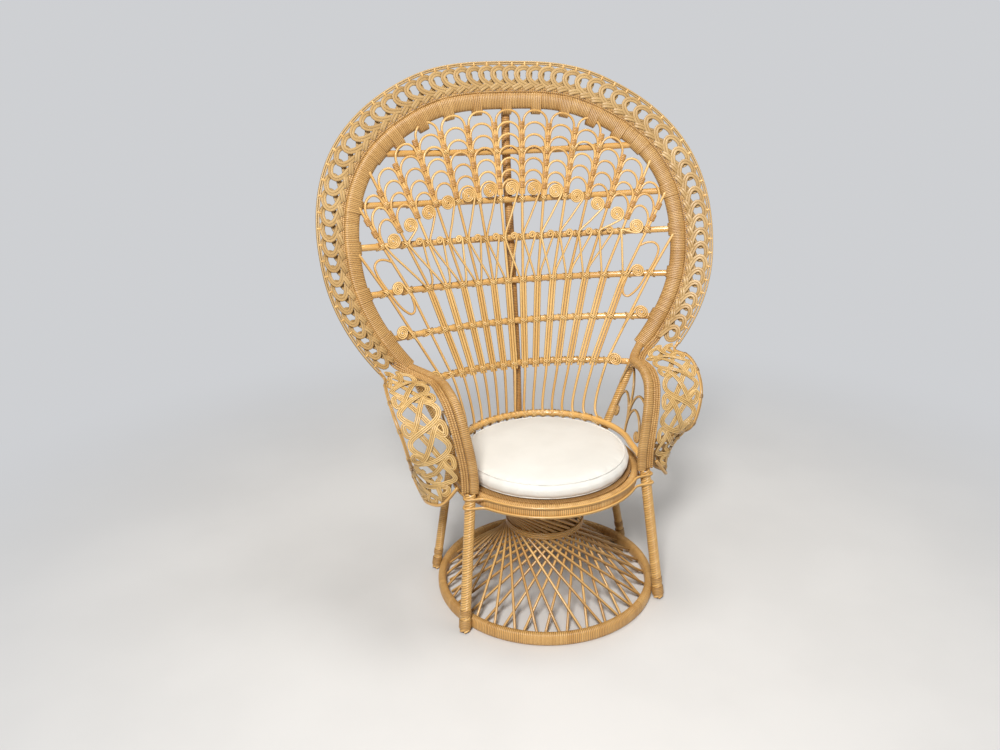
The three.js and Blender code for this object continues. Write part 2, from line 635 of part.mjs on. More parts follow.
function stake(place, bundled) {
  const section = flat(STAKE_WIDTH, REED - 2 * STAKE_RECESS);
  const lower = lowerStake(place);
  const rails = [...RAIL_HEIGHTS].reverse();
  if (!bundled) return [backSweep(section, [...lower, ...upperStake(place, rails.slice(1))])];
  const upper = upperStake(place, rails.slice(rails.indexOf(SPLIT_RAIL)));
  return [backSweep(section, lower), bundle(place), backSweep(section, upper)];
}

// Three reeds tied side by side between the sixth and fourth rails.
function bundle(place) {
  const heights = [onRail(place, SIXTH_RAIL) - RAIL_DIAMETER, onRail(place, FIFTH_RAIL),
    onRail(place, SPLIT_RAIL) + RAIL_DIAMETER];
  return backSweep(flat(BUNDLE_WIDTH, REED), heights.map(height => [fanX(place, height), height, STAKE_DEPTH]));
}

const scrollSection = splitReed(SCROLL_REED, SCROLL_REED_THICKNESS);

// The reed that stays in its cell and ends in a small scroll on the third rail.
function smallScroll(place) {
  const x = fanX(place + 0.5, SMALL_SCROLL_RAIL);
  const foot = onRail(place, SPLIT_RAIL);
  const stem = [fanX(place, foot) + BUNDLE_WIDTH / 3, foot, STAKE_DEPTH];
  const z = railZ(SMALL_SCROLL_RAIL, x);
  return backSweep(scrollSection, [stem, ...coil(x, z, SMALL_SCROLL_RADIUS, SMALL_SCROLL_TURNS, STAKE_DEPTH)]);
}

const scrollZ = cell => LARGE_SCROLL_HEIGHT - LARGE_SCROLL_DROP * cell ** 2;

// The reed that crosses its neighbour on the right and ends in a large scroll over the second rail.
function largeScroll(place) {
  const z = scrollZ(place - 0.5);
  const foot = onRail(place, SPLIT_RAIL);
  const crossing = onRail(place - 1, SMALL_SCROLL_RAIL);
  const stem = fanX(place, foot) - BUNDLE_WIDTH / 3;
  const samples = [[stem, foot, STAKE_DEPTH], [stem, foot + RAIL_DIAMETER, FRONT_LAYER],
    [fanX(place - 1, crossing), crossing, FRONT_LAYER],
    ...coil(fanX(place - 0.5, z), z, LARGE_SCROLL_RADIUS, LARGE_SCROLL_TURNS, FRONT_LAYER)];
  return backSweep(scrollSection, samples);
}

// Arches of the cell on a stake's outer side, one foot on the stake and the other at the next stake or the hoop.
function arches(place, cell) {
  const outwards = Math.sign(cell - place);
  const count = ARCHES_IN_MIDDLE - Math.max(0, Math.abs(cell) - 2);
  let top = HUB_HEIGHT + hoopRadius(0);
  while (hoopMargin(fanX(cell, top), top) < ARCH_REED) top -= GAP;
  const lowest = scrollZ(cell) + LARGE_SCROLL_RADIUS + ARCH_CLEAR;
  const pitch = (top - lowest) / Math.max(1, count - 1);
  return Array.from({ length: count }, (_, i) => {
    const foot = top - i * pitch - ARCH_RISE;
    const far = 0.5 - ((STAKE_WIDTH + ARCH_REED) / 2 + GAP) / stakeSpacing(foot);
    const samples = [];
    for (let step = 0; step <= ARCH_STEPS; step++) {
      const angle = Math.PI * step / ARCH_STEPS;
      const reach = angle < Math.PI / 2 ? 0.5 : far;
      const z = foot + ARCH_RISE * Math.sin(angle);
      const x = fanX(cell - outwards * reach * Math.cos(angle), z);
      samples.push([x, z, STAKE_DEPTH]);
      if (hoopMargin(x, z) < -HOOP_WIDTH / 4) break;
    }
    return backSweep(splitReed(ARCH_REED, ARCH_REED_THICKNESS), samples);
  });
}

// A scroll on a short stem beside an outer stake.
function sideScroll(side, [place, across, aboveHub]) {
  const z = HUB_HEIGHT + aboveHub;
  const root = z - SIDE_SCROLL_STEM;
  const towards = Math.sign(fanX(place, z) - across);
  const turn = coil(across, z, SIDE_SCROLL_RADIUS, SMALL_SCROLL_TURNS, STAKE_DEPTH);
  const samples = [[fanX(place, root), root, STAKE_DEPTH],
    ...turn.map(([x, height, depth]) => [across + towards * (x - across), height, depth])];
  return backSweep(scrollSection, samples.map(([x, height, depth]) => [side * x, height, depth]));
}

// The long loop between the two outermost stakes, tied to the inner one at both ends.
function longLoop(side) {
  const inner = LAST_STAKE - 1;
  const height = LOOP_TOP - LOOP_BOTTOM;
  const route = [[0, 0.86], [0.22, 0.97], [0.45, 1], [0.68, 0.9], [0.7, 0.55], [0.52, 0.2], [0.36, 0.02],
    [0.2, 0.06], [0, 0.3]];
  const samples = route.map(([outwards, share]) => {
    const z = LOOP_BOTTOM + share * height;
    return [side * fanX(inner + outwards, z), z, STAKE_DEPTH];
  });
  return backSweep(splitReed(ARCH_REED, ARCH_REED_THICKNESS), samples);
}

function buildFan() {
  for (let i = 0; i < 2 * STAKES_PER_SIDE; i++) {
    const place = i - LAST_STAKE;
    const side = Math.sign(place);
    const hasSmall = Math.abs(place + 0.5) <= LAST_SMALL_CELL;
    const hasLarge = Math.abs(place - 0.5) <= LAST_LARGE_CELL;
    const pieces = stake(place, hasSmall || hasLarge);
    if (hasSmall) pieces.push(smallScroll(place));
    if (hasLarge) pieces.push(largeScroll(place));
    if (place === -0.5) pieces.push(...arches(place, 0));
    const cell = place + side / 2;
    if (Math.abs(cell) <= LAST_LARGE_CELL) pieces.push(...arches(place, cell));
    if (Math.abs(place) === LAST_STAKE - 1) pieces.push(longLoop(side));
    for (const scroll of SIDE_SCROLLS) if (scroll[0] === Math.abs(place)) pieces.push(sideScroll(side, scroll));
    add(`stake_${i + 1}`, joined(pieces, [HOOP_CUTTER]), PALE_RATTAN);
  }
}

// Arms
const alongArm = points => points.map((_, i) => {
  const ahead = points[Math.min(i + 1, points.length - 1)];
  return ahead.clone().sub(points[Math.max(i - 1, 0)]).cross(SIDEWAYS);
});

const onHoop = (radiusAt, degrees) => {
  const [x, z] = aboutHub(radiusAt(degrees), degrees);
  return backPolar(backAngle(x, z), z, HOOP_DEPTH);
};

// Two points that carry on from the end of the trim or the rim in a straight line.
function leadOn(radiusAt) {
  const end = onHoop(radiusAt, RIM_END_ANGLE);
  const onward = end.clone().sub(onHoop(radiusAt, RIM_END_ANGLE - HOOP_STEP)).normalize();
  return [2 * GAP, EDGE_WIDTH].map(way => end.clone().addScaledVector(onward, way));
}

const HOOP_FOOT = onHoop(hoopRadius, HOOP_END_ANGLE);
const POST_ENDS = [
  REAR_LEG_HEAD.clone().sub(HOOP_FOOT.clone().sub(REAR_LEG_HEAD).setLength(REAR_LEG_DIAMETER)),
  HOOP_FOOT,
];
const postAt = height => {
  const [foot, head] = POST_ENDS;
  return foot.clone().lerp(head, (height - foot.z) / (head.z - foot.z));
};
const postCutter = solid(pole(polygon(REAR_LEG_DIAMETER + 2 * GAP, 8), POST_ENDS));
const POST_CUTTERS = [postCutter, postCutter.mirror([1, 0, 0])];
const ARM_FOOT = FRONT_LEG_HEAD.clone().sub(point(ARM_FOOT_INSET, 0, ARM_THICKNESS));
const ARM_PATH = new THREE.CatmullRomCurve3([HOOP_FOOT, ...ARM_STATIONS.map(s => point(...s)), ARM_FOOT]);
const ARM_POINTS = ARM_PATH.getPoints(ARM_SPAN_STEPS * (ARM_STATIONS.length + 1));
const armSweep = grow => {
  const section = bevelled(ARM_WIDTH + 2 * grow, ARM_THICKNESS + 2 * grow, ARM_EDGE);
  return sweep(section, ARM_POINTS, alongArm(ARM_POINTS));
};
const ARM_CUTTERS = [solid(armSweep(GAP)), solid(mirrored(armSweep(GAP)))];

// The reeds that run on from the hoop's trim along the arm's outer side.
const EDGE_OFFSET = point((ARM_WIDTH + EDGE_WIDTH) / 2 + EDGE_SLACK, 0, 0);
const EDGE_POINTS = [...leadOn(trimRadius), HOOP_FOOT.clone().add(point(...EDGE_LEAD)),
  ...ARM_POINTS.slice(ARM_SPAN_STEPS).map(place => place.clone().add(EDGE_OFFSET))];
const EDGE_PATH = new THREE.CatmullRomCurve3(EDGE_POINTS);
const WING_LEAD = leadOn(rimRadius);
const WING_PATH = new THREE.CatmullRomCurve3([...WING_LEAD, ...WING_STATIONS.map(s => point(...s)),
  ARM_FOOT.clone().add(EDGE_OFFSET).add(point(EDGE_WIDTH, 0, 2 * EDGE_WIDTH))]);

// A strip of one layer of the wing, from the arm's edge to the rim.
function wingStrip(share, layer) {
  const onRim = share + layer * WING_SLANT;
  const beforeFold = (share - layer * WING_SLANT) / WING_FOLD;
  const afterFold = (share - layer * WING_SLANT - WING_FOLD) / (1 - WING_FOLD);
  const onEdge = afterFold < 0 ? lerp(0.1, EDGE_FOLD, beforeFold) : lerp(EDGE_FOLD, 0.95, afterFold);
  const clear = point((EDGE_WIDTH + WING_STRIP_WIDTH) / 2 + 2 * WING_LAYER, 0, 0);
  const from = EDGE_PATH.getPointAt(clamp(onEdge, 0, 1)).add(clear);
  const to = WING_PATH.getPointAt(clamp(onRim, 0, 1));
  const facing = WING_PATH.getTangentAt(clamp(onRim, 0, 1)).cross(to.clone().sub(from)).normalize();
  const shift = facing.clone().multiplyScalar(layer * WING_LAYER);
  return pole(flat(WING_STRIP_WIDTH, WING_STRIP_THICKNESS), [from.add(shift), to.add(shift)], facing);
}

function buildWings() {
  const points = [...WING_LEAD, ...WING_PATH.getSpacedPoints(WING_STEPS).slice(1)];
  const pieces = [pole(polygon(WING_RIM_DIAMETER, 5), points, SIDEWAYS)];
  for (let i = 0; i < WING_STRIPS; i++) {
    const share = (i + 1) / (WING_STRIPS + 0.8);
    pieces.push(wingStrip(share, 1), wingStrip(share, -1));
  }
  addPair('wing', joined(pieces), PALE_RATTAN);
}

// Reeds inside the arm, on a sheet that runs from the seat rail out to the arm and the rear post.
function armInside(y, z) {
  const lean = ARM_SIDE_LEAN + ARM_SIDE_FLARE * ((y + ARM_SIDE_FRONT) / ARM_SIDE_DEPTH) ** 2;
  return point(BACK_FOOT_RADIUS + lean * (z - BACK_FOOT), y, z);
}

function armReed(route) {
  const points = route.map(([y, z]) => armInside(y, z));
  return pole(splitReed(ARM_REED, ARM_REED), points, SIDEWAYS);
}

function armArch(far, foot, rise) {
  const middle = (ARM_ARCH_FOOT + far) / 2;
  const half = (far - ARM_ARCH_FOOT) / 2;
  return Array.from({ length: ARCH_STEPS + 2 }, (_, i) => {
    const angle = Math.PI * i / (ARCH_STEPS + 1);
    return [middle - half * Math.cos(angle), foot + rise * Math.sin(angle)];
  });
}

function buildArms() {
  addPair('arm', joined([armSweep(0)], [HOOP_CUTTER, ARM_FOOT_TRIM]));
  const edge = sweep(flat(EDGE_WIDTH, EDGE_THICKNESS), EDGE_POINTS, alongArm(EDGE_POINTS));
  addPair('arm_edge', joined([edge], [ARM_FOOT_TRIM, ARM_CUTTERS[0], HOOP_CUTTER]), DARK_RATTAN);

  const post = pole(polygon(REAR_LEG_DIAMETER, 8), POST_ENDS);
  addPair('rear_post', joined([post], [HOOP_CUTTER, ARM_CUTTERS[0], ARM_FOOT_TRIM]));

  const railTop = BACK_FOOT + RAIL_DIAMETER / 2 / Math.cos(Math.PI / 6) + GAP;
  const stem = armReed([[ARM_ARCH_FOOT, railTop], [ARM_ARCH_FOOT, ARM_ARCHES[0][1] + ARM_REED]]);
  const archReeds = ARM_ARCHES.map(([far, foot, rise]) => armReed(armArch(far, foot, rise)));
  const coilReeds = ARM_COILS.map(([far, foot, rise]) => {
    const side = Math.sign(far);
    const turn = coil(0, foot, SIDE_SCROLL_RADIUS, SMALL_SCROLL_TURNS, 0);
    const middle = far - side * SIDE_SCROLL_RADIUS;
    const winding = turn.slice(1).map(([y, z]) => [middle + side * y, 2 * foot - z]);
    return armReed([...armArch(far, foot, rise), ...winding]);
  });
  const reeds = joined([stem, ...archReeds, ...coilReeds], [postCutter, ARM_CUTTERS[0]]);
  addPair('arm_arches', reeds, PALE_RATTAN);
}

buildBase();
buildSeat();
buildLegs();
buildHoop();
buildRails();
buildCentrePost();
buildFan();
buildArms();
buildWings();

// The origin is the middle of the whole chair's footprint.
const box = new THREE.Box3().setFromObject(chair);
const middle = box.getCenter(new THREE.Vector3());
for (const mesh of chair.children) mesh.geometry.translate(-middle.x, -middle.y, -box.min.z);

export default chair;
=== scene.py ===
"""A rattan peacock chair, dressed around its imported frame.

Sizes are millimetres in the maker's frame, whose axis is the middle of the seat, until a cane is swept.
"""
from __future__ import annotations

import json
import logging
import math
from dataclasses import dataclass, field
from enum import Enum

import bmesh
import bpy
import numpy as np
from bpy.types import Curve, Material, Mesh, Node, NodeTree, Object
from bpy.types import NodeSocket as Socket
from mathutils import Matrix, Vector

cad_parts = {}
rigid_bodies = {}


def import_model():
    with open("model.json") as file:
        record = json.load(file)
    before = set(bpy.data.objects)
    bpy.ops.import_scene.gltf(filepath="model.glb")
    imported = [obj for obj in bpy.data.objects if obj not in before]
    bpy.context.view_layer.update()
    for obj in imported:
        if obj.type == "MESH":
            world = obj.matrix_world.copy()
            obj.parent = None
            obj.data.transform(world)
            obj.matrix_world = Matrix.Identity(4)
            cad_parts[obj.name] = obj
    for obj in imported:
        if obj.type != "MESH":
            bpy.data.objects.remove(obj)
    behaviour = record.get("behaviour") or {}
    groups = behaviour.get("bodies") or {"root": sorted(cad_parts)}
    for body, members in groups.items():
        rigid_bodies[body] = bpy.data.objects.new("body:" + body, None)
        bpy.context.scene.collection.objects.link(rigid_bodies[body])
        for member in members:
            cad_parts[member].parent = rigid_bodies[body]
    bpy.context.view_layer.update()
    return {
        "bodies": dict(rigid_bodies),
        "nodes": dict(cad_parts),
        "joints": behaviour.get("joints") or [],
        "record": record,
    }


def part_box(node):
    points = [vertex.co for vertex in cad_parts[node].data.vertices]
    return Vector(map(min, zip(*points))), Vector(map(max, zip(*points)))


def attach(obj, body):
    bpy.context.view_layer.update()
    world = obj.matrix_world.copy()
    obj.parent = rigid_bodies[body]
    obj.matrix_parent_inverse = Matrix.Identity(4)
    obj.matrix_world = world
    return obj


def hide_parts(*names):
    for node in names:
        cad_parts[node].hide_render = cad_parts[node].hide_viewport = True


log = logging.getLogger("peacock_chair")
Array = np.ndarray
Colour = tuple[float, float, float]
Points = tuple[tuple[float, float, float], ...]
Kit = dict[str, NodeTree]
MM = 0.001
SEED = 41
WELD = 2e-6
UV_NAME = "cane"
TONE_NAME = "tone"
SIDE_NAME = "side"
UP = np.array((0.0, 0.0, 1.0))
SIDEWAYS = np.array((1.0, 0.0, 0.0))
FORWARDS = np.array((0.0, -1.0, 0.0))
GROOVE = 0.05
BEAD_GROOVE = 0.1


class Side(Enum):
    """The two sides of the chair, from the sitter's own view."""

    LEFT = 1
    RIGHT = -1

    @property
    def word(self) -> str:
        """The side's name as it stands in the names of the frame."""
        return self.name.lower()


class Slot(Enum):
    """The record's material slots."""

    RATTAN = "rattan"
    PALE = "pale_rattan"
    DARK = "dark_rattan"
    CLOTH = "cushion_cloth"


def unit(vectors: Array) -> Array:
    """Scale each row to a length of one."""
    return vectors / np.maximum(np.linalg.norm(vectors, axis=-1, keepdims=True), 1e-12)


def tangents(line: Array) -> Array:
    """Directions along a line, halfway between the runs on each side of a point."""
    runs = unit(np.diff(line, axis=0))
    return unit(np.vstack((runs[:1], runs[:-1] + runs[1:], runs[-1:])))


def lengths(line: Array) -> Array:
    """Distance along a line up to each of its points."""
    return np.concatenate(([0.0], np.cumsum(np.linalg.norm(np.diff(line, axis=0), axis=1))))


def resample(line: Array, places: Array) -> Array:
    """Points of a line at given distances along it."""
    along = lengths(line)
    return np.stack([np.interp(places, along, line[:, axis]) for axis in range(line.shape[1])], axis=1)


def even(line: Array, step: float) -> Array:
    """Points of a line about a step apart."""
    whole = lengths(line)[-1]
    return resample(line, np.linspace(0.0, whole, max(2, int(round(whole / step)) + 1)))


def carried(values: Array, along: Array, places: Array) -> Array:
    """Directions that belong to distances along a line, at other distances."""
    values = np.broadcast_to(values, (len(along), 3))
    return unit(np.stack([np.interp(places, along, values[:, axis]) for axis in range(3)], axis=1))


def smooth_line(stations: Array, samples: int = 12) -> Array:
    """A centripetal spline through stations.

    Args:
        stations: Points that the line passes.
        samples: Points of the line between two stations.

    Returns:
        Points of the line.
    """
    points = np.asarray(stations, float)
    points = np.vstack((2 * points[:1] - points[1:2], points, 2 * points[-1:] - points[-2:-1]))
    share = np.linspace(0.0, 1.0, samples, endpoint=False)[:, None]
    pieces = []
    for before, start, end, after in zip(points, points[1:], points[2:], points[3:]):
        runs = ((before, start), (start, end), (end, after))
        gaps = [max(np.linalg.norm(b - a), 1e-6) ** 0.5 for a, b in runs]
        leave = (start - before) / gaps[0] - (end - before) / (gaps[0] + gaps[1]) + (end - start) / gaps[1]
        arrive = (end - start) / gaps[1] - (after - start) / (gaps[1] + gaps[2]) + (after - end) / gaps[2]
        leave, arrive = leave * gaps[1], arrive * gaps[1]
        bend = 2 * (start - end) + leave + arrive
        turn = 3 * (end - start) - 2 * leave - arrive
        pieces.append(start + share * (leave + share * (turn + share * bend)))
    return np.vstack(pieces + [points[-2:-1]])


def mirrored(line: Array, side: Side) -> Array:
    """A line of the chair's left side, carried over to the given side."""
    return line * np.array((side.value, 1.0, 1.0))


@dataclass(frozen=True)
class Section:
    """The outline of a cane across its length: round, flat or a rounded oblong."""

    width: float
    thickness: float
    sides: int = 8
    squareness: float = 2.0

    def corners(self) -> Array:
        """Corners of the outline, clockwise so that the swept walls face outwards."""
        angle = -2 * np.pi * (np.arange(self.sides) + 0.5) / self.sides
        power = 2.0 / self.squareness
        across = np.sign(np.cos(angle)) * np.abs(np.cos(angle)) ** power
        through = np.sign(np.sin(angle)) * np.abs(np.sin(angle)) ** power
        return np.stack((across * self.width / 2, through * self.thickness / 2), axis=1)

    def girth(self) -> Array:
        """Distance round the outline up to each corner, and all the way round."""
        corners = self.corners()
        return lengths(np.vstack((corners, corners[:1])))


@dataclass
class Cane:
    """One cane: its line, the way its flat side faces, its swelling and its tone."""

    line: Array
    facing: Array = field(default_factory=lambda: UP)
    swell: Array | None = None
    tone: float = 0.5
    marks: Array | None = None

    def tilt(self) -> Array:
        """Turn of the section about the line that brings its flat side to the facing."""
        way = tangents(self.line)
        rest = UP - (way @ UP)[:, None] * way
        steep = np.linalg.norm(rest, axis=1) < 1e-4
        rest[steep] = (0.0, -1.0, 0.0)
        rest = unit(rest)
        facing = np.broadcast_to(self.facing, self.line.shape)
        facing = unit(facing - np.sum(facing * way, axis=1)[:, None] * way)
        sine = np.sum(way * np.cross(rest, facing), axis=1)
        return np.unwrap(np.arctan2(sine, np.sum(rest * facing, axis=1)))


def capped(cane: Cane, reach: float) -> Cane:
    """Round off both ends of a cane, down to a point.

    Args:
        cane: The cane with open ends.
        reach: How far each rounded end goes on from the line.

    Returns:
        The cane with closed ends.
    """
    steps = np.array((1.0, 0.82, 0.45))
    ends = np.array((0.0, 0.58, 0.88))
    way = tangents(cane.line)
    head = cane.line[0] - steps[:, None] * reach * way[0]
    tail = cane.line[-1] + steps[::-1, None] * reach * way[-1]
    swell = np.ones(len(cane.line)) if cane.swell is None else cane.swell
    facing = np.broadcast_to(cane.facing, cane.line.shape)
    marks = lengths(cane.line) * MM if cane.marks is None else cane.marks
    return Cane(
        line=np.vstack((head, cane.line, tail)),
        facing=np.vstack((np.repeat(facing[:1], 3, axis=0), facing, np.repeat(facing[-1:], 3, axis=0))),
        swell=np.concatenate((ends * swell[0], swell, ends[::-1] * swell[-1])),
        tone=cane.tone,
        marks=np.concatenate((np.full(3, marks[0]), marks, np.full(3, marks[-1]))),
    )


def wrapped(line: Array, facing: Array, pitch: float, groove: float, tone: float,
            closed: bool = False) -> Cane:
    """A pole wound with cane: each turn is a flat band between two narrow grooves.

    Args:
        line: The pole's line.
        facing: The way its flat side faces, for each point or for all.
        pitch: Width of one turn.
        groove: Share of the pole's size that a groove goes in.
        tone: Seed of the tones of its turns.
        closed: Whether the line comes back to its start.

    Returns:
        The wound pole, with the number of turns as its marks.
    """
    along = lengths(line)
    count = max(2, int(round(along[-1] / pitch)))
    band = np.array((0.0, 0.17, 0.83))
    marks = np.append((np.arange(count)[:, None] + band).ravel(), count)
    places = marks / count * along[-1]
    swell = np.where(np.abs(marks - np.round(marks)) < 1e-6, 1.0 - groove, 1.0)
    cane = Cane(resample(line, places), carried(facing, along, places), swell, tone, marks)
    if closed:
        return cane
    stub, end_turn = 0.6, 0.35
    cane = capped(cane, pitch * stub)
    cane.marks[:3] += end_turn
    cane.marks[-3:] -= end_turn
    return cane


def placed(name: str, data: bpy.types.ID) -> Object:
    """A new object of the scene with its data."""
    made = bpy.data.objects.new(name, data)
    bpy.context.scene.collection.objects.link(made)
    return made


class Loom:
    """Sweeps canes and gathers them in one piece of the chair."""

    axis_y = 0.0

    def __init__(self, name: str) -> None:
        """Start an empty piece with its name."""
        self.name = name
        self.mesh = bmesh.new()
        self.finishes: list[Material] = []

    def add(self, section: Section, canes: list[Cane], finish: Material) -> None:
        """Sweep one section along several canes.

        Args:
            section: The outline of every one of them.
            canes: The canes.
            finish: Their material.
        """
        if not canes:
            return
        if finish not in self.finishes:
            self.finishes.append(finish)
        curve = self._curve(section, canes)
        holder = placed("sweep", curve)
        graph = bpy.context.evaluated_depsgraph_get()
        swept = bpy.data.meshes.new_from_object(holder.evaluated_get(graph), depsgraph=graph)
        self._close_rings(swept, section, canes)
        self._mark(swept, section, canes, self.finishes.index(finish))
        self.mesh.from_mesh(swept)
        profile = curve.bevel_object
        outline = profile.data
        bpy.data.objects.remove(holder)
        bpy.data.objects.remove(profile)
        bpy.data.curves.remove(curve)
        bpy.data.curves.remove(outline)
        bpy.data.meshes.remove(swept)

    def piece(self, slot: Slot, *nodes: str) -> Object:
        """Close the seams and hand the piece to the frame.

        Args:
            slot: The record's slot that the finish belongs to.
            nodes: Solids of the frame that the piece stands for.

        Returns:
            The finished object.
        """
        bmesh.ops.remove_doubles(self.mesh, verts=self.mesh.verts, dist=WELD)
        data = bpy.data.meshes.new(self.name)
        self.mesh.to_mesh(data)
        self.mesh.free()
        data.shade_smooth()
        for finish in self.finishes:
            data.materials.append(finish)
        piece = placed(self.name, data)
        return hand_over(piece, slot, *nodes)

    @classmethod
    def _curve(cls, section: Section, canes: list[Cane]) -> Curve:
        """Draw the canes as splines with the section as their bevel."""
        outline = bpy.data.curves.new("section", "CURVE")
        outline.dimensions = "2D"
        corners = section.corners() * MM
        spline = outline.splines.new("POLY")
        spline.points.add(len(corners) - 1)
        spline.use_cyclic_u = True
        flat = np.tile((0.0, 1.0), (len(corners), 1))
        spline.points.foreach_set("co", np.hstack((corners, flat)).ravel())
        profile = placed("section", outline)

        curve = bpy.data.curves.new("sweep", "CURVE")
        curve.dimensions = "3D"
        curve.twist_mode = "Z_UP"
        curve.bevel_mode = "OBJECT"
        curve.bevel_object = profile
        for cane in canes:
            count = len(cane.line)
            spline = curve.splines.new("POLY")
            spline.points.add(count - 1)
            place = cane.line * MM - np.array((0.0, cls.axis_y, 0.0))
            spline.points.foreach_set("co", np.column_stack((place, np.ones(count))).ravel())
            spline.points.foreach_set("tilt", cane.tilt())
            spline.points.foreach_set("radius", np.ones(count) if cane.swell is None else cane.swell)
        return curve

    @staticmethod
    def _close_rings(swept: Mesh, section: Section, canes: list[Cane]) -> None:
        """Bring the ends together of each cane that comes back to its start."""
        spots = np.empty(len(swept.vertices) * 3)
        swept.vertices.foreach_get("co", spots)
        spots = spots.reshape(-1, section.sides, 3)
        first = 0
        for cane in canes:
            last = first + len(cane.line) - 1
            if np.allclose(cane.line[0], cane.line[-1]):
                spots[[first, last]] = (spots[first] + spots[last]) / 2
            first = last + 1
        swept.vertices.foreach_set("co", spots.ravel())

    @staticmethod
    def _mark(swept: Mesh, section: Section, canes: list[Cane], index: int) -> None:
        """Write each corner's place round and along its cane, its nearness to a side, and the cane's tone."""
        sides = section.sides
        girth = section.girth() * MM
        marks = [lengths(cane.line) * MM if cane.marks is None else cane.marks for cane in canes]
        counts = [len(cane.line) for cane in canes]
        along = np.repeat(np.concatenate(marks), sides)
        tone = np.repeat(np.repeat([cane.tone for cane in canes], counts), sides)
        corner = np.tile(np.arange(sides), sum(counts))

        loops = np.empty(len(swept.loops), np.int32)
        swept.loops.foreach_get("vertex_index", loops)
        faces = corner[loops].reshape(-1, 4)
        seam = (faces.max(axis=1) - faces.min(axis=1)) == sides - 1
        faces = np.where(seam[:, None] & (faces == 0), sides, faces)
        while swept.uv_layers:
            swept.uv_layers.remove(swept.uv_layers[0])
        layer = swept.uv_layers.new(name=UV_NAME)
        layer.data.foreach_set("uv", np.column_stack((girth[faces.ravel()], along[loops])).ravel())
        edge = np.abs(section.corners()[:, 0]) / (section.width / 2)
        for name, values in ((TONE_NAME, tone), (SIDE_NAME, np.tile(edge, sum(counts)))):
            swept.attributes.new(name, "FLOAT", "POINT").data.foreach_set("value", values)
        swept.polygons.foreach_set("material_index", np.full(len(swept.polygons), index, np.int32))


def hand_over(piece: Object, slot: Slot, *nodes: str) -> Object:
    """Let a piece ride on the chair and stand for its solids.

    Args:
        piece: The finished object.
        slot: The record's slot that its finish belongs to; not used.
        nodes: Solids of the frame that it stands for.

    Returns:
        The same object.
    """
    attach(piece, "root")
    if nodes:
        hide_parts(*nodes)
    log.info("%s: %d faces", piece.name, len(piece.data.polygons))
    return piece


class Bench:
    """Adds and links nodes in one shader tree."""

    def __init__(self, tree: NodeTree) -> None:
        """Take a material's tree or a node group to work on."""
        self.tree = tree

    def feed(self, made: Node, inputs: dict[str | int, object]) -> None:
        """Give a node's inputs, by name or number, their values or the sockets that feed them."""
        for key, value in inputs.items():
            if isinstance(value, Socket):
                self.tree.links.new(value, made.inputs[key])
            else:
                made.inputs[key].default_value = value

    def node(self, kind: str, inputs: dict[str | int, object] | None = None,
             **settings: object) -> Node:
        """Add a node.

        Args:
            kind: Its type, without the words ShaderNode.
            inputs: Values or sockets for its inputs, by name or number.
            settings: Other properties of the node.

        Returns:
            The node.
        """
        made = self.tree.nodes.new(kind if kind.startswith("Node") else f"ShaderNode{kind}")
        for key, value in settings.items():
            setattr(made, key, value)
        self.feed(made, inputs or {})
        return made

    def sum(self, operation: str, *values: object) -> Socket:
        """Add a Math node and give its result."""
        return self.node("Math", dict(enumerate(values)), operation=operation).outputs[0]

    def times(self, value: object, factor: object) -> Socket:
        """Multiply two values."""
        return self.sum("MULTIPLY", value, factor)

    def raised(self, start: object, value: object, factor: float) -> Socket:
        """Add a value times a factor to a start."""
        return self.sum("MULTIPLY_ADD", value, factor, start)

    def ramp(self, value: Socket, low: object, high: object) -> Socket:
        """Bring a value from one range smoothly to nought to one."""
        inputs = {"Value": value, "From Min": low, "From Max": high}
        return self.node("MapRange", inputs, interpolation_type="SMOOTHSTEP").outputs["Result"]

    def blend(self, share: object, first: object, second: object) -> Socket:
        """Mix two colours by a share."""
        return self.node("Mix", {0: share, 6: first, 7: second}, data_type="RGBA").outputs[2]

    def vector(self, x: object, y: object, z: object) -> Socket:
        """Join three values to a vector."""
        return self.node("CombineXYZ", {0: x, 1: y, 2: z}).outputs[0]

    def noise(self, place: Socket, scale: object, detail: float = 3.0) -> Socket:
        """Noise from nought to one at a place."""
        return self.node("TexNoise", {"Vector": place, "Scale": scale, "Detail": detail}).outputs[0]

    def chance(self, seed: Socket) -> Socket:
        """A random value for each seed."""
        return self.node("TexWhiteNoise", {"W": seed}, noise_dimensions="1D").outputs["Value"]

    def attribute(self, name: str) -> Socket:
        """A value that the points of a cane carry."""
        return self.node("Attribute", attribute_name=name).outputs["Fac"]

    def cane_place(self) -> tuple[Socket, Socket]:
        """The places round a cane and along it."""
        place = self.node("SeparateXYZ", {0: self.node("UVMap", uv_map=UV_NAME).outputs[0]})
        return place.outputs[0], place.outputs[1]

    def object_place(self) -> Socket:
        """The place on the chair."""
        return self.node("TexCoord").outputs["Object"]

    def crossed(self, threads: float) -> Socket:
        """Waves that cross at right angles, from minus one to one."""
        place = self.node("SeparateXYZ", {0: self.object_place()})
        waves = [self.sum("SINE", self.times(place.outputs[axis], threads)) for axis in range(2)]
        return self.times(*waves)

    def bump(self, height: Socket, strength: float, distance: float) -> Socket:
        """A normal from a height."""
        inputs = {"Height": height, "Strength": strength, "Distance": distance}
        return self.node("Bump", inputs).outputs[0]

    def shared(self, tree: NodeTree, **inputs: float) -> bpy.types.bpy_prop_collection:
        """Add a shared group and give its outputs."""
        return self.node("Group", inputs, node_tree=tree).outputs


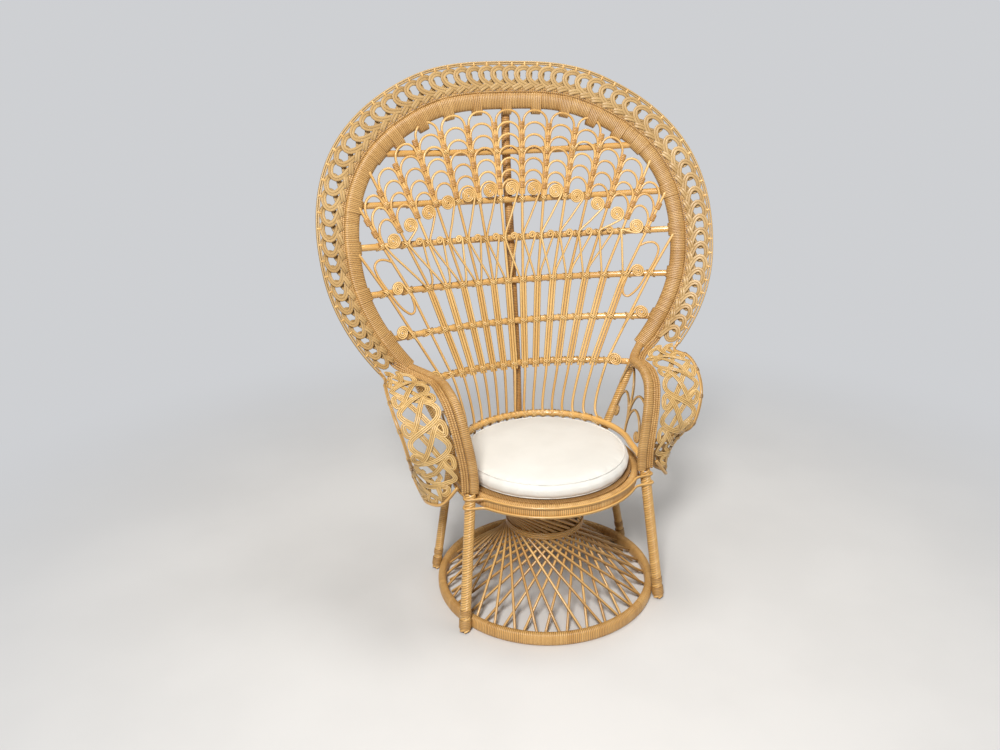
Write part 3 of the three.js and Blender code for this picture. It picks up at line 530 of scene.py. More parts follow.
class PatternKit:
    """Node groups that several finishes share; scales count to the metre or to the turn."""

    fibres = 900.0
    flecks = (2600.0, 160.0)
    strips = 0.14
    turn_fibres = (55.0, 9.0)
    dust = 160.0

    @staticmethod
    def start(name: str, **inputs: float) -> tuple[Bench, bpy.types.bpy_prop_collection]:
        """Start a node group with values as its inputs.

        Args:
            name: The group's name.
            inputs: Names and usual values of its inputs.

        Returns:
            The bench for the group, and its inputs as sockets to link from.
        """
        tree = bpy.data.node_groups.new(name, "ShaderNodeTree")
        for key, value in inputs.items():
            socket = tree.interface.new_socket(key, in_out="INPUT", socket_type="NodeSocketFloat")
            socket.default_value = value
        bench = Bench(tree)
        return bench, bench.node("NodeGroupInput").outputs

    @staticmethod
    def end(bench: Bench, **results: Socket) -> NodeTree:
        """Link a group's results to its outputs and give the group."""
        for key in results:
            bench.tree.interface.new_socket(key, in_out="OUTPUT", socket_type="NodeSocketFloat")
        bench.feed(bench.node("NodeGroupOutput"), results)
        return bench.tree

    @classmethod
    def reed_fibre(cls) -> NodeTree:
        """Long fibres of a bare reed, from its place round and along it, and a mask of painted shade towards
        its sides.
        """
        bench, given = cls.start("reed_fibre", Stretch=14.0)
        around, along = bench.cane_place()
        shift = bench.times(bench.attribute(TONE_NAME), 37.0)
        wide = bench.vector(bench.times(around, cls.fibres), bench.times(along, given["Stretch"]), shift)
        streak = bench.noise(wide, 1.0, 4.0)
        grain = bench.vector(bench.times(around, cls.flecks[0]), bench.times(along, cls.flecks[1]), shift)
        fleck = bench.ramp(bench.noise(grain, 1.0, 2.0), 0.6, 0.78)
        height = bench.sum("SUBTRACT", streak, bench.times(fleck, 0.4))
        # Painted shade: a mask that darkens a reed towards the sides of its section, where it lies against
        # its neighbours.
        crease = bench.ramp(bench.attribute(SIDE_NAME), 0.62, 0.95)
        return cls.end(bench, Streak=streak, Fleck=fleck, Crease=crease, Height=height)

    @classmethod
    def cane_turns(cls) -> NodeTree:
        """Turns of a winding: a tone for each, the groove between two, and fibres along the cane."""
        bench, given = cls.start("cane_turns", Gap=0.17)
        around, turns = bench.cane_place()
        seed = bench.times(bench.attribute(TONE_NAME), 83.0)
        turn = bench.chance(bench.sum("ADD", bench.sum("FLOOR", turns), seed))
        length = bench.sum("FLOOR", bench.times(turns, cls.strips))
        strip = bench.chance(bench.sum("ADD", length, seed))
        tone = bench.raised(bench.times(turn, 0.5), strip, 0.5)
        across = bench.sum("FRACT", turns)
        edge = bench.sum("MINIMUM", across, bench.sum("SUBTRACT", 1.0, across))
        # Mask of the groove between two turns: it sinks the bump, and the winding finish paints shade into
        # it.
        groove = bench.sum("SUBTRACT", 1.0, bench.ramp(edge, 0.015, given["Gap"]))
        wide, long = cls.turn_fibres
        streak = bench.noise(bench.vector(bench.times(around, wide), bench.times(turns, long), seed), 1.0)
        height = bench.sum("SUBTRACT", bench.times(streak, 0.25), groove)
        return cls.end(bench, Tone=tone, Groove=groove, Streak=streak, Height=height)

    @classmethod
    def varnish_age(cls) -> NodeTree:
        """Uneven varnish and handling over the whole chair, from the place on it."""
        bench, given = cls.start("varnish_age", Scale=7.0)
        place = bench.object_place()
        patch = bench.ramp(bench.noise(place, given["Scale"], 5.0), 0.35, 0.68)
        dust = bench.ramp(bench.noise(place, cls.dust, 4.0), 0.5, 0.8)
        return cls.end(bench, Patch=patch, Dust=dust)


def rgba(colour: Colour) -> tuple[float, float, float, float]:
    """A colour with full cover."""
    return (*colour, 1.0)


@dataclass(frozen=True)
class Finish:
    """A material: its name and the two colours that it varies between."""

    name: str
    light: Colour
    deep: Colour

    def build(self, kit: Kit) -> Material:
        """Make the material with the shared node groups."""
        material = bpy.data.materials.new(self.name)
        material.use_nodes = True
        material.node_tree.nodes.clear()
        bench = Bench(material.node_tree)
        shader = bench.node("BsdfPrincipled")
        bench.node("OutputMaterial", {"Surface": shader.outputs[0]})
        self._paint(bench, shader, kit)
        return material

    def _paint(self, bench: Bench, shader: Node, kit: Kit) -> None:
        """Feed the shader; each kind of finish has its own way."""
        raise NotImplementedError


@dataclass(frozen=True)
class WindingFinish(Finish):
    """Poles wound with glossy cane."""

    # Colour of the painted shade in the grooves between turns.
    groove: Colour
    gap: float = 0.17
    gloss: float = 0.42
    coat: float = 0.1
    coat_roughness: float = 0.3
    tones: float = 0.75
    streaks: float = 0.3
    patch: float = 0.35
    dust: float = 0.16
    groove_roughness: float = 0.25
    relief: float = 0.0006

    def _paint(self, bench: Bench, shader: Node, kit: Kit) -> None:
        """Give each turn its tone and paint shade into the grooves between them."""
        turns = bench.shared(kit["cane_turns"], Gap=self.gap)
        age = bench.shared(kit["varnish_age"])
        share = bench.raised(bench.times(turns["Streak"], self.streaks), turns["Tone"], self.tones)
        colour = bench.blend(share, rgba(self.light), rgba(self.deep))
        colour = bench.blend(bench.times(age["Patch"], self.patch), colour, rgba(self.deep))
        # Painted shade in the grooves between turns.
        colour = bench.blend(turns["Groove"], colour, rgba(self.groove))
        rough = bench.raised(self.gloss, age["Dust"], self.dust)
        bench.feed(shader, {
            "Base Color": colour,
            "Roughness": bench.raised(rough, turns["Groove"], self.groove_roughness),
            "Coat Weight": self.coat,
            "Coat Roughness": self.coat_roughness,
            "Normal": bench.bump(turns["Height"], 0.5, self.relief),
        })


@dataclass(frozen=True)
class ReedFinish(Finish):
    """Bare reeds and split strands under varnish."""

    gloss: float = 0.38
    stretch: float = 14.0
    coat: float = 0.3
    coat_roughness: float = 0.18
    # How strongly shade is painted on each reed towards its sides.
    crease: float = 0.6
    tones: float = 0.5
    streaks: float = 0.5
    patch: float = 0.35
    flecks: float = 0.35
    # Darkness of the real flecks and of the painted shade, as a share of the deep colour.
    shade: float = 0.45
    dust: float = 0.16
    fibre_roughness: float = 0.12
    relief: float = 0.0004

    def _paint(self, bench: Bench, shader: Node, kit: Kit) -> None:
        """Give each reed its tone and fibres, and paint shade on it where it lies beside another."""
        fibre = bench.shared(kit["reed_fibre"], Stretch=self.stretch)
        age = bench.shared(kit["varnish_age"])
        # Dark colour of the real flecks and of the painted shade at the sides.
        dark = rgba(tuple(self.shade * part for part in self.deep))
        tone = bench.attribute(TONE_NAME)
        share = bench.raised(bench.times(fibre["Streak"], self.streaks), tone, self.tones)
        colour = bench.blend(share, rgba(self.light), rgba(self.deep))
        colour = bench.blend(bench.times(age["Patch"], self.patch), colour, rgba(self.deep))
        colour = bench.blend(bench.times(fibre["Fleck"], self.flecks), colour, dark)
        rough = bench.raised(self.gloss, age["Dust"], self.dust)
        # The base colour carries the painted shade towards the sides of each reed.
        bench.feed(shader, {
            "Base Color": bench.blend(bench.times(fibre["Crease"], self.crease), colour, dark),
            "Roughness": bench.raised(rough, fibre["Streak"], self.fibre_roughness),
            "Coat Weight": self.coat,
            "Coat Roughness": self.coat_roughness,
            "Normal": bench.bump(fibre["Height"], 0.35, self.relief),
        })


@dataclass(frozen=True)
class ClothFinish(Finish):
    """Plain woven cotton of the cushion's cover."""

    name: str = "cushion_cotton"
    light: Colour = (0.73, 0.705, 0.645)
    deep: Colour = (0.57, 0.535, 0.465)
    threads: float = 1400.0
    patch: float = 0.3
    weave: float = 0.14
    dust: float = 0.1
    gloss: float = 0.78
    sheen: float = 0.25
    relief: float = 0.0003

    def _paint(self, bench: Bench, shader: Node, kit: Kit) -> None:
        """Weave the cloth and let it age a little."""
        age = bench.shared(kit["varnish_age"])
        weave = bench.raised(0.5, bench.crossed(self.threads), 0.5)
        colour = bench.blend(bench.times(age["Patch"], self.patch), rgba(self.light), rgba(self.deep))
        bench.feed(shader, {
            "Base Color": bench.blend(bench.times(weave, self.weave), colour, rgba(self.deep)),
            "Roughness": bench.raised(self.gloss, age["Dust"], self.dust),
            "Sheen Weight": self.sheen,
            "Normal": bench.bump(weave, 0.25, self.relief),
        })


@dataclass(frozen=True)
class FloorFinish(Finish):
    """Plain pale studio floor that fades into the room far from the chair."""

    name: str = "pale_floor"
    light: Colour = (0.70, 0.68, 0.65)
    deep: Colour = (0.665, 0.646, 0.6175)
    room: Colour = (0.62, 0.63, 0.65)
    fade_from: float = 0.7
    fade_to: float = 2.6
    patches: float = 2.0
    gloss: float = 0.6

    def _paint(self, bench: Bench, shader: Node, kit: Kit) -> None:
        """Mix the floor with the light of the room by the distance from the chair."""
        age = bench.shared(kit["varnish_age"], Scale=self.patches)
        colour = bench.blend(age["Patch"], rgba(self.light), rgba(self.deep))
        bench.feed(shader, {"Base Color": colour, "Roughness": self.gloss})
        far = bench.node("VectorMath", {0: bench.object_place()}, operation="LENGTH").outputs["Value"]
        room = bench.node("Emission", {"Color": rgba(self.room)})
        share = bench.ramp(far, self.fade_from, self.fade_to)
        mixed = bench.node("MixShader", {0: share, 1: shader.outputs[0], 2: room.outputs[0]})
        bench.feed(bench.tree.nodes["Material Output"], {"Surface": mixed.outputs[0]})


@dataclass(frozen=True)
class PanelFinish(Finish):
    """Close plain weave of the seat under the cushion."""

    name: str = "seat_weave"
    light: Colour = (0.58, 0.34, 0.12)
    deep: Colour = (0.22, 0.10, 0.03)
    strands: float = 520.0
    patch: float = 0.3
    weave: float = 0.7
    dust: float = 0.2
    gloss: float = 0.45
    relief: float = 0.0015

    def _paint(self, bench: Bench, shader: Node, kit: Kit) -> None:
        """Weave the seat."""
        age = bench.shared(kit["varnish_age"])
        weave = bench.sum("ABSOLUTE", bench.crossed(self.strands))
        share = bench.raised(bench.times(weave, self.weave), age["Patch"], self.patch)
        bench.feed(shader, {
            "Base Color": bench.blend(share, rgba(self.deep), rgba(self.light)),
            "Roughness": bench.raised(self.gloss, age["Dust"], self.dust),
            "Normal": bench.bump(weave, 0.8, self.relief),
        })


class Finishes:
    """All materials of the chair and of the floor."""

    def __init__(self) -> None:
        """Build the shared groups, then each finish."""
        kit = {
            "reed_fibre": PatternKit.reed_fibre(),
            "cane_turns": PatternKit.cane_turns(),
            "varnish_age": PatternKit.varnish_age(),
        }
        # The third colour of each winding is the painted shade in the grooves between its turns.
        self.winding = WindingFinish(
            "golden_winding", (0.64, 0.385, 0.135), (0.39, 0.193, 0.047), (0.055, 0.02, 0.005)).build(kit)
        # A brighter copy of the golden winding for the floor ring and the seat ring: painted light that
        # stands in for more light falling on them.
        self.ring = WindingFinish(
            "ring_winding", (0.78, 0.475, 0.17), (0.48, 0.24, 0.06), (0.07, 0.027, 0.007)).build(kit)
        self.binding = WindingFinish(
            "brown_winding", (0.66, 0.36, 0.11), (0.42, 0.195, 0.045), (0.10, 0.04, 0.01)).build(kit)
        self.beads = WindingFinish(
            "beaded_reed", (0.66, 0.40, 0.145), (0.42, 0.215, 0.058), (0.10, 0.04, 0.01), gap=0.16).build(kit)
        # Each reed finish's crease value sets how much shade is painted at the sides of its reeds.
        self.rail = ReedFinish(
            "golden_pole", (0.86, 0.52, 0.17), (0.62, 0.315, 0.072),
            gloss=0.24, stretch=40.0, coat=0.8, crease=0.2).build(kit)
        self.reed = ReedFinish(
            "golden_reed", (0.88, 0.57, 0.215), (0.56, 0.29, 0.072), gloss=0.3, crease=0.75).build(kit)
        self.pale = ReedFinish(
            "pale_strand", (0.68, 0.44, 0.17), (0.40, 0.21, 0.055), gloss=0.32, crease=0.9).build(kit)
        self.ribbon = ReedFinish(
            "border_ribbon", (0.62, 0.415, 0.178), (0.37, 0.208, 0.064),
            gloss=0.42, coat=0.1, crease=0.7).build(kit)
        # A brighter copy of the strand colours for the wings: painted light on the plait, which faces
        # sideways away from the key light.
        self.plait = ReedFinish(
            "wing_strand", (0.80, 0.55, 0.23), (0.48, 0.27, 0.075),
            gloss=0.36, coat=0.2, crease=0.9).build(kit)
        self.coil = ReedFinish(
            "scroll_reed", (0.92, 0.63, 0.26), (0.60, 0.33, 0.09), gloss=0.32, crease=0.95).build(kit)
        self.brown = ReedFinish("brown_reed", (0.34, 0.165, 0.045), (0.19, 0.085, 0.023)).build(kit)
        self.rod = ReedFinish("base_rod", (0.86, 0.54, 0.19), (0.42, 0.20, 0.047), crease=0.7).build(kit)
        self.cotton = ClothFinish().build(kit)
        self.floor = FloorFinish().build(kit)
        self.panel = PanelFinish().build(kit)


@dataclass(frozen=True)
class BackSheet:
    """The sheet that the fan lies in: a leaning cone that opens from the round of the seat."""

    foot: float = 448.0
    foot_radius: float = 250.0
    flare: float = 1.55
    rake: float = 0.133
    opening: float = 40.0

    def angle(self, x: Array, z: Array) -> Array:
        """Angle round the cone of a point given by its distance across and its height."""
        radius = self.foot_radius + self.flare * np.maximum(0.0, z - self.foot)
        return np.arcsin(np.clip(x / radius, -1.0, 1.0))

    def facing(self, x: Array, z: Array) -> Array:
        """The way that the front of the sheet looks."""
        return self.facing_round(self.angle(x, z), z)

    def facing_round(self, angle: Array, z: Array) -> Array:
        """The way that the front of the sheet looks, by the angle round it."""
        angle, z = np.broadcast_arrays(np.asarray(angle, float), np.asarray(z, float))
        open_share = np.clip((z - self.foot) / self.opening, 0.0, 1.0)
        across = np.stack((np.cos(angle), -np.sin(angle), np.zeros_like(angle)), axis=-1)
        upwards = np.stack((
            open_share * self.flare * np.sin(angle),
            open_share * (self.rake - self.flare * (1.0 - np.cos(angle))),
            np.ones_like(angle),
        ), axis=-1)
        return unit(np.cross(across, upwards))

    def at(self, x: Array, z: Array, depth: Array | float = 0.0) -> Array:
        """A point of the sheet, or in front of it by a depth."""
        return self.at_round(self.angle(x, z), z, depth)

    def at_round(self, angle: Array, z: Array, depth: Array | float = 0.0) -> Array:
        """A point by the angle round the sheet."""
        values = (np.asarray(value, float) for value in (angle, z, depth))
        angle, z, depth = np.broadcast_arrays(*values)
        rise = np.maximum(0.0, z - self.foot)
        radius = self.foot_radius + self.flare * rise
        lean = (self.rake - self.flare) * rise
        place = np.stack((radius * np.sin(angle), radius * np.cos(angle) + lean, z), axis=-1)
        return place + depth[..., None] * self.facing_round(angle, z)


@dataclass(frozen=True)
class Outline:
    """A rounded line about the hub of the back, by its radius every 30 degrees from the crown."""

    radii: tuple[float, ...]
    hub: float = 950.0

    def radius(self, degrees: Array) -> Array:
        """Radius at an angle from the crown."""
        last = len(self.radii) - 1
        table = np.array([self.radii[abs(i)] for i in range(-last, last + 1)])
        place = (np.asarray(degrees, float) + 180.0) / 360.0 * (len(table) - 1)
        low = np.clip(np.floor(place).astype(int), 0, len(table) - 2)
        share = place - low
        before, start = table[np.maximum(low - 1, 0)], table[low]
        end, after = table[low + 1], table[np.minimum(low + 2, len(table) - 1)]
        leave, arrive = (end - before) / 2, (after - start) / 2
        bend = 2 * (start - end) + leave + arrive
        turn = 3 * (end - start) - 2 * leave - arrive
        return start + share * (leave + share * (turn + share * bend))

    def spot(self, degrees: Array, outwards: Array | float = 0.0) -> tuple[Array, Array]:
        """Distance across and height of a point, further out than the line by a distance."""
        radius = self.radius(degrees) + outwards
        angle = np.radians(degrees)
        return radius * np.sin(angle), self.hub + radius * np.cos(angle)


SHEET = BackSheet()
HOOP = Outline((442, 475, 510, 488, 457, 459, 470))
RIM = Outline((546, 581, 611, 573, 523, 505, 500))


@dataclass(frozen=True)
class FanLattice:
    """Places of the stakes and rails: halves are stakes and whole numbers are cells, from the middle."""

    rails: tuple[float, ...] = (1251, 1112, 1000, 872, 747, 614)
    rise: float = 14.0
    foot_spacing: float = 28.0
    middle_spacing: float = 47.5
    top_spacing: float = 78.0
    spread: float = 48.0
    last: float = 7.5
    hoop_width: float = 46.0

    def spacing(self, z: Array) -> Array:
        """Distance between two stakes at a height."""
        heights = (SHEET.foot, self.rails[3], self.rails[0])
        gaps = (self.foot_spacing, self.middle_spacing, self.top_spacing)
        over = (gaps[2] - gaps[1]) / (heights[2] - heights[1])
        z = np.asarray(z, float)
        return np.interp(z, heights, gaps) + over * np.maximum(0.0, z - heights[2])

    def across(self, place: Array, z: Array) -> Array:
        """Distance of a place of the fan from the middle line."""
        share = np.clip((np.asarray(z, float) - self.rails[5]) / (self.rails[3] - self.rails[5]), 0.0, 1.0)
        return self.spacing(z) * place + np.sign(place) * self.spread * share * (place / self.last) ** 4

    def rail_height(self, height: float, x: Array) -> Array:
        """Height of a bent rail at a distance across."""
        return height + self.rise * (np.asarray(x, float) / HOOP.radius(90.0)) ** 2

    def on_rail(self, place: float, height: float) -> float:
        """Height where a stake crosses a rail."""
        return float(self.rail_height(height, self.across(place, height)))

    def margin(self, x: Array, z: Array) -> Array:
        """How far a point lies inside the inner edge of the hoop."""
        degrees = np.degrees(np.arctan2(x, z - HOOP.hub))
        return HOOP.radius(degrees) - self.hoop_width / 2 - np.hypot(x, z - HOOP.hub)


FAN = FanLattice()
REAR_LEG_HEAD = np.array((243.7, 152.3, 402.0))
HOOP_END = 127.5
HOOP_FOOT = SHEET.at(*HOOP.spot(HOOP_END), 4.0)


def on_sheet(x: Array, z: Array, depth: Array | float, tone: float, swell: Array | None = None) -> Cane:
    """A cane that lies on the back sheet."""
    x, z = np.broadcast_arrays(np.asarray(x, float), np.asarray(z, float))
    return Cane(SHEET.at(x, z, depth), SHEET.facing(x, z), swell, tone)


def spline_on_sheet(samples: list[tuple[float, float, float]], step: float, tone: float) -> Cane:
    """A smooth cane on the back sheet through samples of distance across, height and depth."""
    route = even(smooth_line(np.array(samples, float)), step)
    return on_sheet(route[:, 0], route[:, 1], route[:, 2], tone)


@dataclass
class Part:
    """A sub-assembly of the chair: its finishes, and the draws that vary its canes."""

    finishes: Finishes
    draw: np.random.Generator

    def cane(self, line: Array, facing: Array = UP) -> Cane:
        """A cane with a tone of its own."""
        return Cane(line, facing, None, self.draw.random())


@dataclass
class Hoop(Part):
    """The wound main hoop with its trim reeds."""

    width: float = 46.0
    thickness: float = 26.0
    depth: float = 4.0
    end: float = HOOP_END
    trim_end: float = 121.5
    pitch: float = 5.0
    trim_reed: float = 6.0
    patch_length: float = 36.0
    tab_length: float = 27.0
    tab_drop: float = 15.0
    last_tab: int = 4

    def build(self) -> None:
        """Make the band, its broader windings and the trim."""
        loom = Loom("hoop_band")
        self._band(loom)
        self._patches(loom)
        self._tabs(loom)
        loom.piece(Slot.RATTAN, "main_hoop")
        self._trim()

    def line(self, degrees: Array, outwards: Array | float = 0.0, depth: float = 0.0) -> tuple[Array, Array]:
        """Points along the hoop and the way that its front looks."""
        x, z = HOOP.spot(degrees, outwards)
        return SHEET.at(x, z, self.depth + depth), SHEET.facing(x, z)

    def _band(self, loom: Loom) -> None:
        """Wind the band."""
        line, facing = self.line(np.linspace(-self.end, self.end, 400))
        section = Section(self.width, self.thickness, 18, 2.7)
        loom.add(section, [wrapped(line, facing, self.pitch, GROOVE, 0.37)], self.finishes.winding)

    def _patches(self, loom: Loom) -> None:
        """Wind a second layer over the ends of the rails and of the centre post."""
        section = Section(self.width + 5.0, self.thickness + 2.4, 18, 2.7)
        half = math.degrees(self.patch_length / 2 / HOOP.radius(90.0))
        patches = []
        for middle in self._joints():
            line, facing = self.line(np.linspace(middle - half, middle + half, 12), -1.8)
            patches.append(wrapped(line, facing, self.pitch, GROOVE, self.draw.random()))
        loom.add(section, patches, self.finishes.winding)

    def _tabs(self, loom: Loom) -> None:
        """Wind the crown of each cell's top arch to the band."""
        section = Section(self.width + self.tab_drop + 1.5, self.thickness + 2.0, 18, 3.0)
        middle = -self.tab_drop / 2
        half = math.degrees(self.tab_length / 2 / HOOP.radius(0.0))
        tabs = []
        for cell in range(-self.last_tab, self.last_tab + 1):
            line, facing = self.line(np.linspace(-half, half, 8) + crown_angle(cell), middle)
            tabs.append(wrapped(line, facing, self.pitch, GROOVE, self.draw.random()))
        loom.add(section, tabs, self.finishes.winding)

    def _joints(self) -> list[float]:
        """Angles where the rails are bound to the hoop."""
        degrees = np.linspace(5.0, 126.0, 2400)
        x, z = HOOP.spot(degrees)
        found = []
        for height in FAN.rails[:-1]:
            gap = np.abs(z - FAN.rail_height(height, x))
            near = float(degrees[int(np.argmin(gap))])
            found += [near, -near]
        return found

    def _trim(self) -> None:
        """Make the two beaded reeds outside the band."""
        loom = Loom("trim_reeds")
        degrees = np.linspace(-self.trim_end, self.trim_end, 500)
        canes = []
        for row in range(2):
            outwards = trim_offset(degrees, self.width / 2 - 0.6 + (row + 0.5) * 1.04 * self.trim_reed)
            line, facing = self.line(degrees, outwards, 4.0)
            canes.append(wrapped(line, facing, 6.0, BEAD_GROOVE, self.draw.random()))
        loom.add(Section(self.trim_reed, self.trim_reed + 1.0, 8), canes, self.finishes.beads)
        loom.piece(Slot.DARK, "hoop_trim")


def crown_angle(cell: float) -> float:
    """Angle round the hoop where the middle of a cell of the fan meets its inner edge."""
    degrees = np.linspace(-70.0, 70.0, 2801)
    x, z = HOOP.spot(degrees, -FAN.hoop_width / 2)
    return float(degrees[int(np.argmin(np.abs(x - FAN.across(cell, z))))])


def trim_offset(degrees: Array, distance: float) -> Array:
    """Change of the hoop's radius that gives a distance along the slanting sheet."""
    x, z = HOOP.spot(degrees)
    further_x, further_z = HOOP.spot(degrees, 1.0)
    stretch = np.linalg.norm(SHEET.at(further_x, further_z) - SHEET.at(x, z), axis=-1)
    return distance / stretch


@dataclass
class Border(Part):
    """The chain of ribbon rings and the double rim round the hoop."""

    end: float = 120.0
    depth: float = 5.0
    rings: int = 60
    trim_reach: float = 35.0
    rim_reed: float = 5.4
    strand: float = 8.1
    strand_thickness: float = 3.0
    strand_gap: float = 0.92
    tie_place: float = 0.6
    tie_half: float = 0.2
    tie_inwards: float = 3.0
    tie_size: tuple[float, float] = (3.3, 1.4)
    route_scale: tuple[float, float, float] = (1.0, 1.6, 0.1)
    route_step: float = 0.085
    route: Points = (
        (0.98, -0.06, 3.0), (0.62, 0.04, 4.5), (0.25, 0.13, 5.0), (-0.13, 0.23, 5.5), (-0.43, 0.38, 5.5),
        (-0.57, 0.57, 5.0), (-0.47, 0.75, 4.0), (-0.14, 0.87, 2.0), (0.24, 0.88, 0.0), (0.54, 0.75, -2.5),
        (0.64, 0.57, -3.5), (0.5, 0.36, -4.0), (0.16, 0.22, -2.0), (-0.22, 0.13, 6.0), (-0.55, 0.05, 8.0),
        (-0.85, -0.04, 6.0))

    def build(self) -> None:
        """Make the rings, the rim and its lashings."""
        self._rings()
        self._rim()

    @property
    def spacing(self) -> float:
        """Degrees from one ring to the next."""
        return 2 * self.end / self.rings

    def place(self, degrees: Array, share: Array, depth: Array | float = 0.0) -> tuple[Array, Array]:
        """A point between the trim and the rim.

        Args:
            degrees: Angle from the crown.
            share: Nought at the trim and one at the rim.
            depth: How far the point stands forward.

        Returns:
            The point and the way that the sheet looks there.
        """
        inner = HOOP.radius(degrees) + trim_offset(degrees, self.trim_reach)
        outer = RIM.radius(degrees) - self.rim_reed
        radius = inner + (outer - inner) * share
        angle = np.radians(degrees)
        x, z = radius * np.sin(angle), RIM.hub + radius * np.cos(angle)
        return SHEET.at(x, z, self.depth + depth), SHEET.facing(x, z)

    def _rings(self) -> None:
        """Make each ring of two flat strands, whose ends run on into a plait beside the trim."""
        loom = Loom("border_rings")
        scale = np.array(self.route_scale)
        route = even(smooth_line(np.array(self.route) * scale, 8), self.route_step) / scale
        canes = []
        for number in range(self.rings):
            degrees = -self.end + (number + 0.5 + route[:, 0]) * self.spacing
            degrees = np.clip(degrees, -self.end - 1.0, self.end + 1.0)
            line, facing = self.place(degrees, route[:, 1], route[:, 2])
            along = lengths(line)
            places = np.linspace(0.0, along[-1], 31)
            line, facing = resample(line, places), carried(facing, along, places)
            across = unit(np.cross(facing, tangents(line)))
            for row in (-0.5, 0.5):
                beside = line + row * self.strand_gap * self.strand * across
                strand = self.cane(beside, facing)
                canes.append(capped(strand, 1.2))
        loom.add(Section(self.strand, self.strand_thickness, 8, 3.6), canes, self.finishes.ribbon)
        loom.piece(Slot.PALE, *(f"border_loops_{number}" for number in range(1, 7)))

    def _rim(self) -> None:
        """Make the two reeds of the rim and the lashing at the head of each ring."""
        loom = Loom("rim_reeds")
        degrees = np.linspace(-self.end, self.end, 420)
        canes = []
        for row in (-0.5, 0.5):
            x, z = RIM.spot(degrees, row * self.rim_reed)
            canes.append(capped(on_sheet(x, z, self.depth, self.draw.random()), 2.0))
        loom.add(Section(self.rim_reed, self.rim_reed + 0.6, 8), canes, self.finishes.ribbon)
        ties = []
        for number in range(self.rings):
            middle = -self.end + (number + self.tie_place) * self.spacing
            span = np.linspace(middle - self.tie_half, middle + self.tie_half, 4)
            x, z = RIM.spot(span, -self.tie_inwards)
            tie = on_sheet(x, z, self.depth, self.draw.random(), np.array((0.88, 1.0, 1.0, 0.88)))
            ties.append(capped(tie, 0.6))
        wide, thick = (size * self.rim_reed for size in self.tie_size)
        loom.add(Section(wide, thick, 8, 2.4), ties, self.finishes.reed)
        loom.piece(Slot.PALE, "outer_rim")


@dataclass
class Rails(Part):
    """The smooth rails of the fan, the seat rail and the lashings where stakes cross them."""

    diameter: float = 19.0
    strip: float = 3.3
    stake_front: float = 18.9
    seat_end: float = 104.0
    seat_foot: tuple[float, float] = (236.0, -136.0)
    post_gap: float = 8.7
    bundle_half: float = 13.6
    lone_half: float = 9.0
    strip_thickness: float = 2.4
    strip_layer: float = 0.7

    def build(self) -> None:
        """Make each rail."""
        for number, height in enumerate(FAN.rails, start=1):
            self._rail(number, height)
        self._seat_rail()
        self._lashings()

    def _reach(self, height: float) -> float:
        """How far a rail goes from the middle: under the hoop's winding, or to the rear post."""
        if height < HOOP_FOOT[2]:
            share = (height - REAR_LEG_HEAD[2]) / (HOOP_FOOT[2] - REAR_LEG_HEAD[2])
            return float(REAR_LEG_HEAD[0] + share * (HOOP_FOOT[0] - REAR_LEG_HEAD[0])) - self.post_gap
        reach = 0.0
        while FAN.margin(reach, FAN.rail_height(height, reach)) > -0.3 * FAN.hoop_width:
            reach += 1.0
        return reach

    def _rail(self, number: int, height: float) -> None:
        """Make one rail from the hoop's one side to the other."""
        reach = self._reach(height)
        x = np.linspace(-reach, reach, 90)
        line = SHEET.at(x, FAN.rail_height(height, x))
        self._pole(f"rail_winding_{number}", f"rail_{number}", line)

    def _seat_rail(self) -> None:
        """Make the rail that runs round the back of the seat."""
        angle = np.radians(np.linspace(-self.seat_end, self.seat_end, 120))
        line = SHEET.at_round(angle, np.full_like(angle, SHEET.foot))
        foot = np.array(((*self.seat_foot, SHEET.foot),))
        line = np.vstack((mirrored(foot, Side.RIGHT), line, mirrored(foot, Side.LEFT)))
        line = even(smooth_line(line[np.r_[0, 1:121:7, 120, 121]]), 8.0)
        self._pole("seat_rail_winding", "seat_rail", line)

    def _pole(self, name: str, node: str, line: Array) -> None:
        """Make a bare pole along a line."""
        loom = Loom(name)
        section = Section(self.diameter, self.diameter, 16)
        loom.add(section, [capped(self.cane(line), 3.0)], self.finishes.rail)
        loom.piece(Slot.RATTAN, node)

    def _lashings(self) -> None:
        """Tie each stake to each rail with a crossed strip."""
        loom = Loom("rail_lashings")
        canes = []
        for place in np.arange(-FAN.last, FAN.last + 0.5):
            for height in FAN.rails:
                z = FAN.on_rail(place, height)
                x = float(FAN.across(place, z))
                if FAN.margin(x, z) < 6.0:
                    continue
                bundled = height in FAN.rails[3:] and abs(place) < FAN.last - 0.5
                canes += self._cross(x, z, self.bundle_half if bundled else self.lone_half, self.stake_front)
            x = float(FAN.across(place, SHEET.foot))
            canes += self._cross(x, SHEET.foot, self.lone_half, self.diameter / 2 + 1.0)
        loom.add(Section(self.strip, self.strip_thickness, 8, 2.4), canes, self.finishes.coil)
        loom.piece(Slot.PALE)

    def _cross(self, x: float, z: float, half: float, front: float) -> list[Cane]:
        """Two pairs of strips that cross in front and go round behind the rail.

        Args:
            x: Distance across of the crossing.
            z: Height of the crossing.
            half: Half of the width that the strips go round.
            front: Depth of the crossing.

        Returns:
            The strips.
        """
        round_rail = self.diameter / 2 + 0.9
        turn = np.radians((150.0, 95.0, 52.0))
        aside = half * np.array((-1.05, -1.0, -0.88))
        ends = np.stack((aside, round_rail * np.sin(turn), round_rail * np.cos(turn)), axis=1)
        over = np.array(((-0.52 * half, 0.46 * round_rail, front - 0.4), (0.0, 0.0, front + 0.5)))
        opposite = np.array((-1.0, -1.0, 1.0))
        shape = np.vstack((ends, over, over[:1] * opposite, ends[::-1] * opposite))
        in_front = np.abs(shape[:, 0]) < half
        strips = []
        for hand in (1.0, -1.0):
            for row in (-0.5, 0.5):
                shift = row * self.strip
                strip = on_sheet(x + shape[:, 0] + shift, z + hand * (shape[:, 1] + shift * in_front),
                                 shape[:, 2] + self.strip_layer * hand, self.draw.random())
                strips.append(capped(strip, 0.6))
        return strips


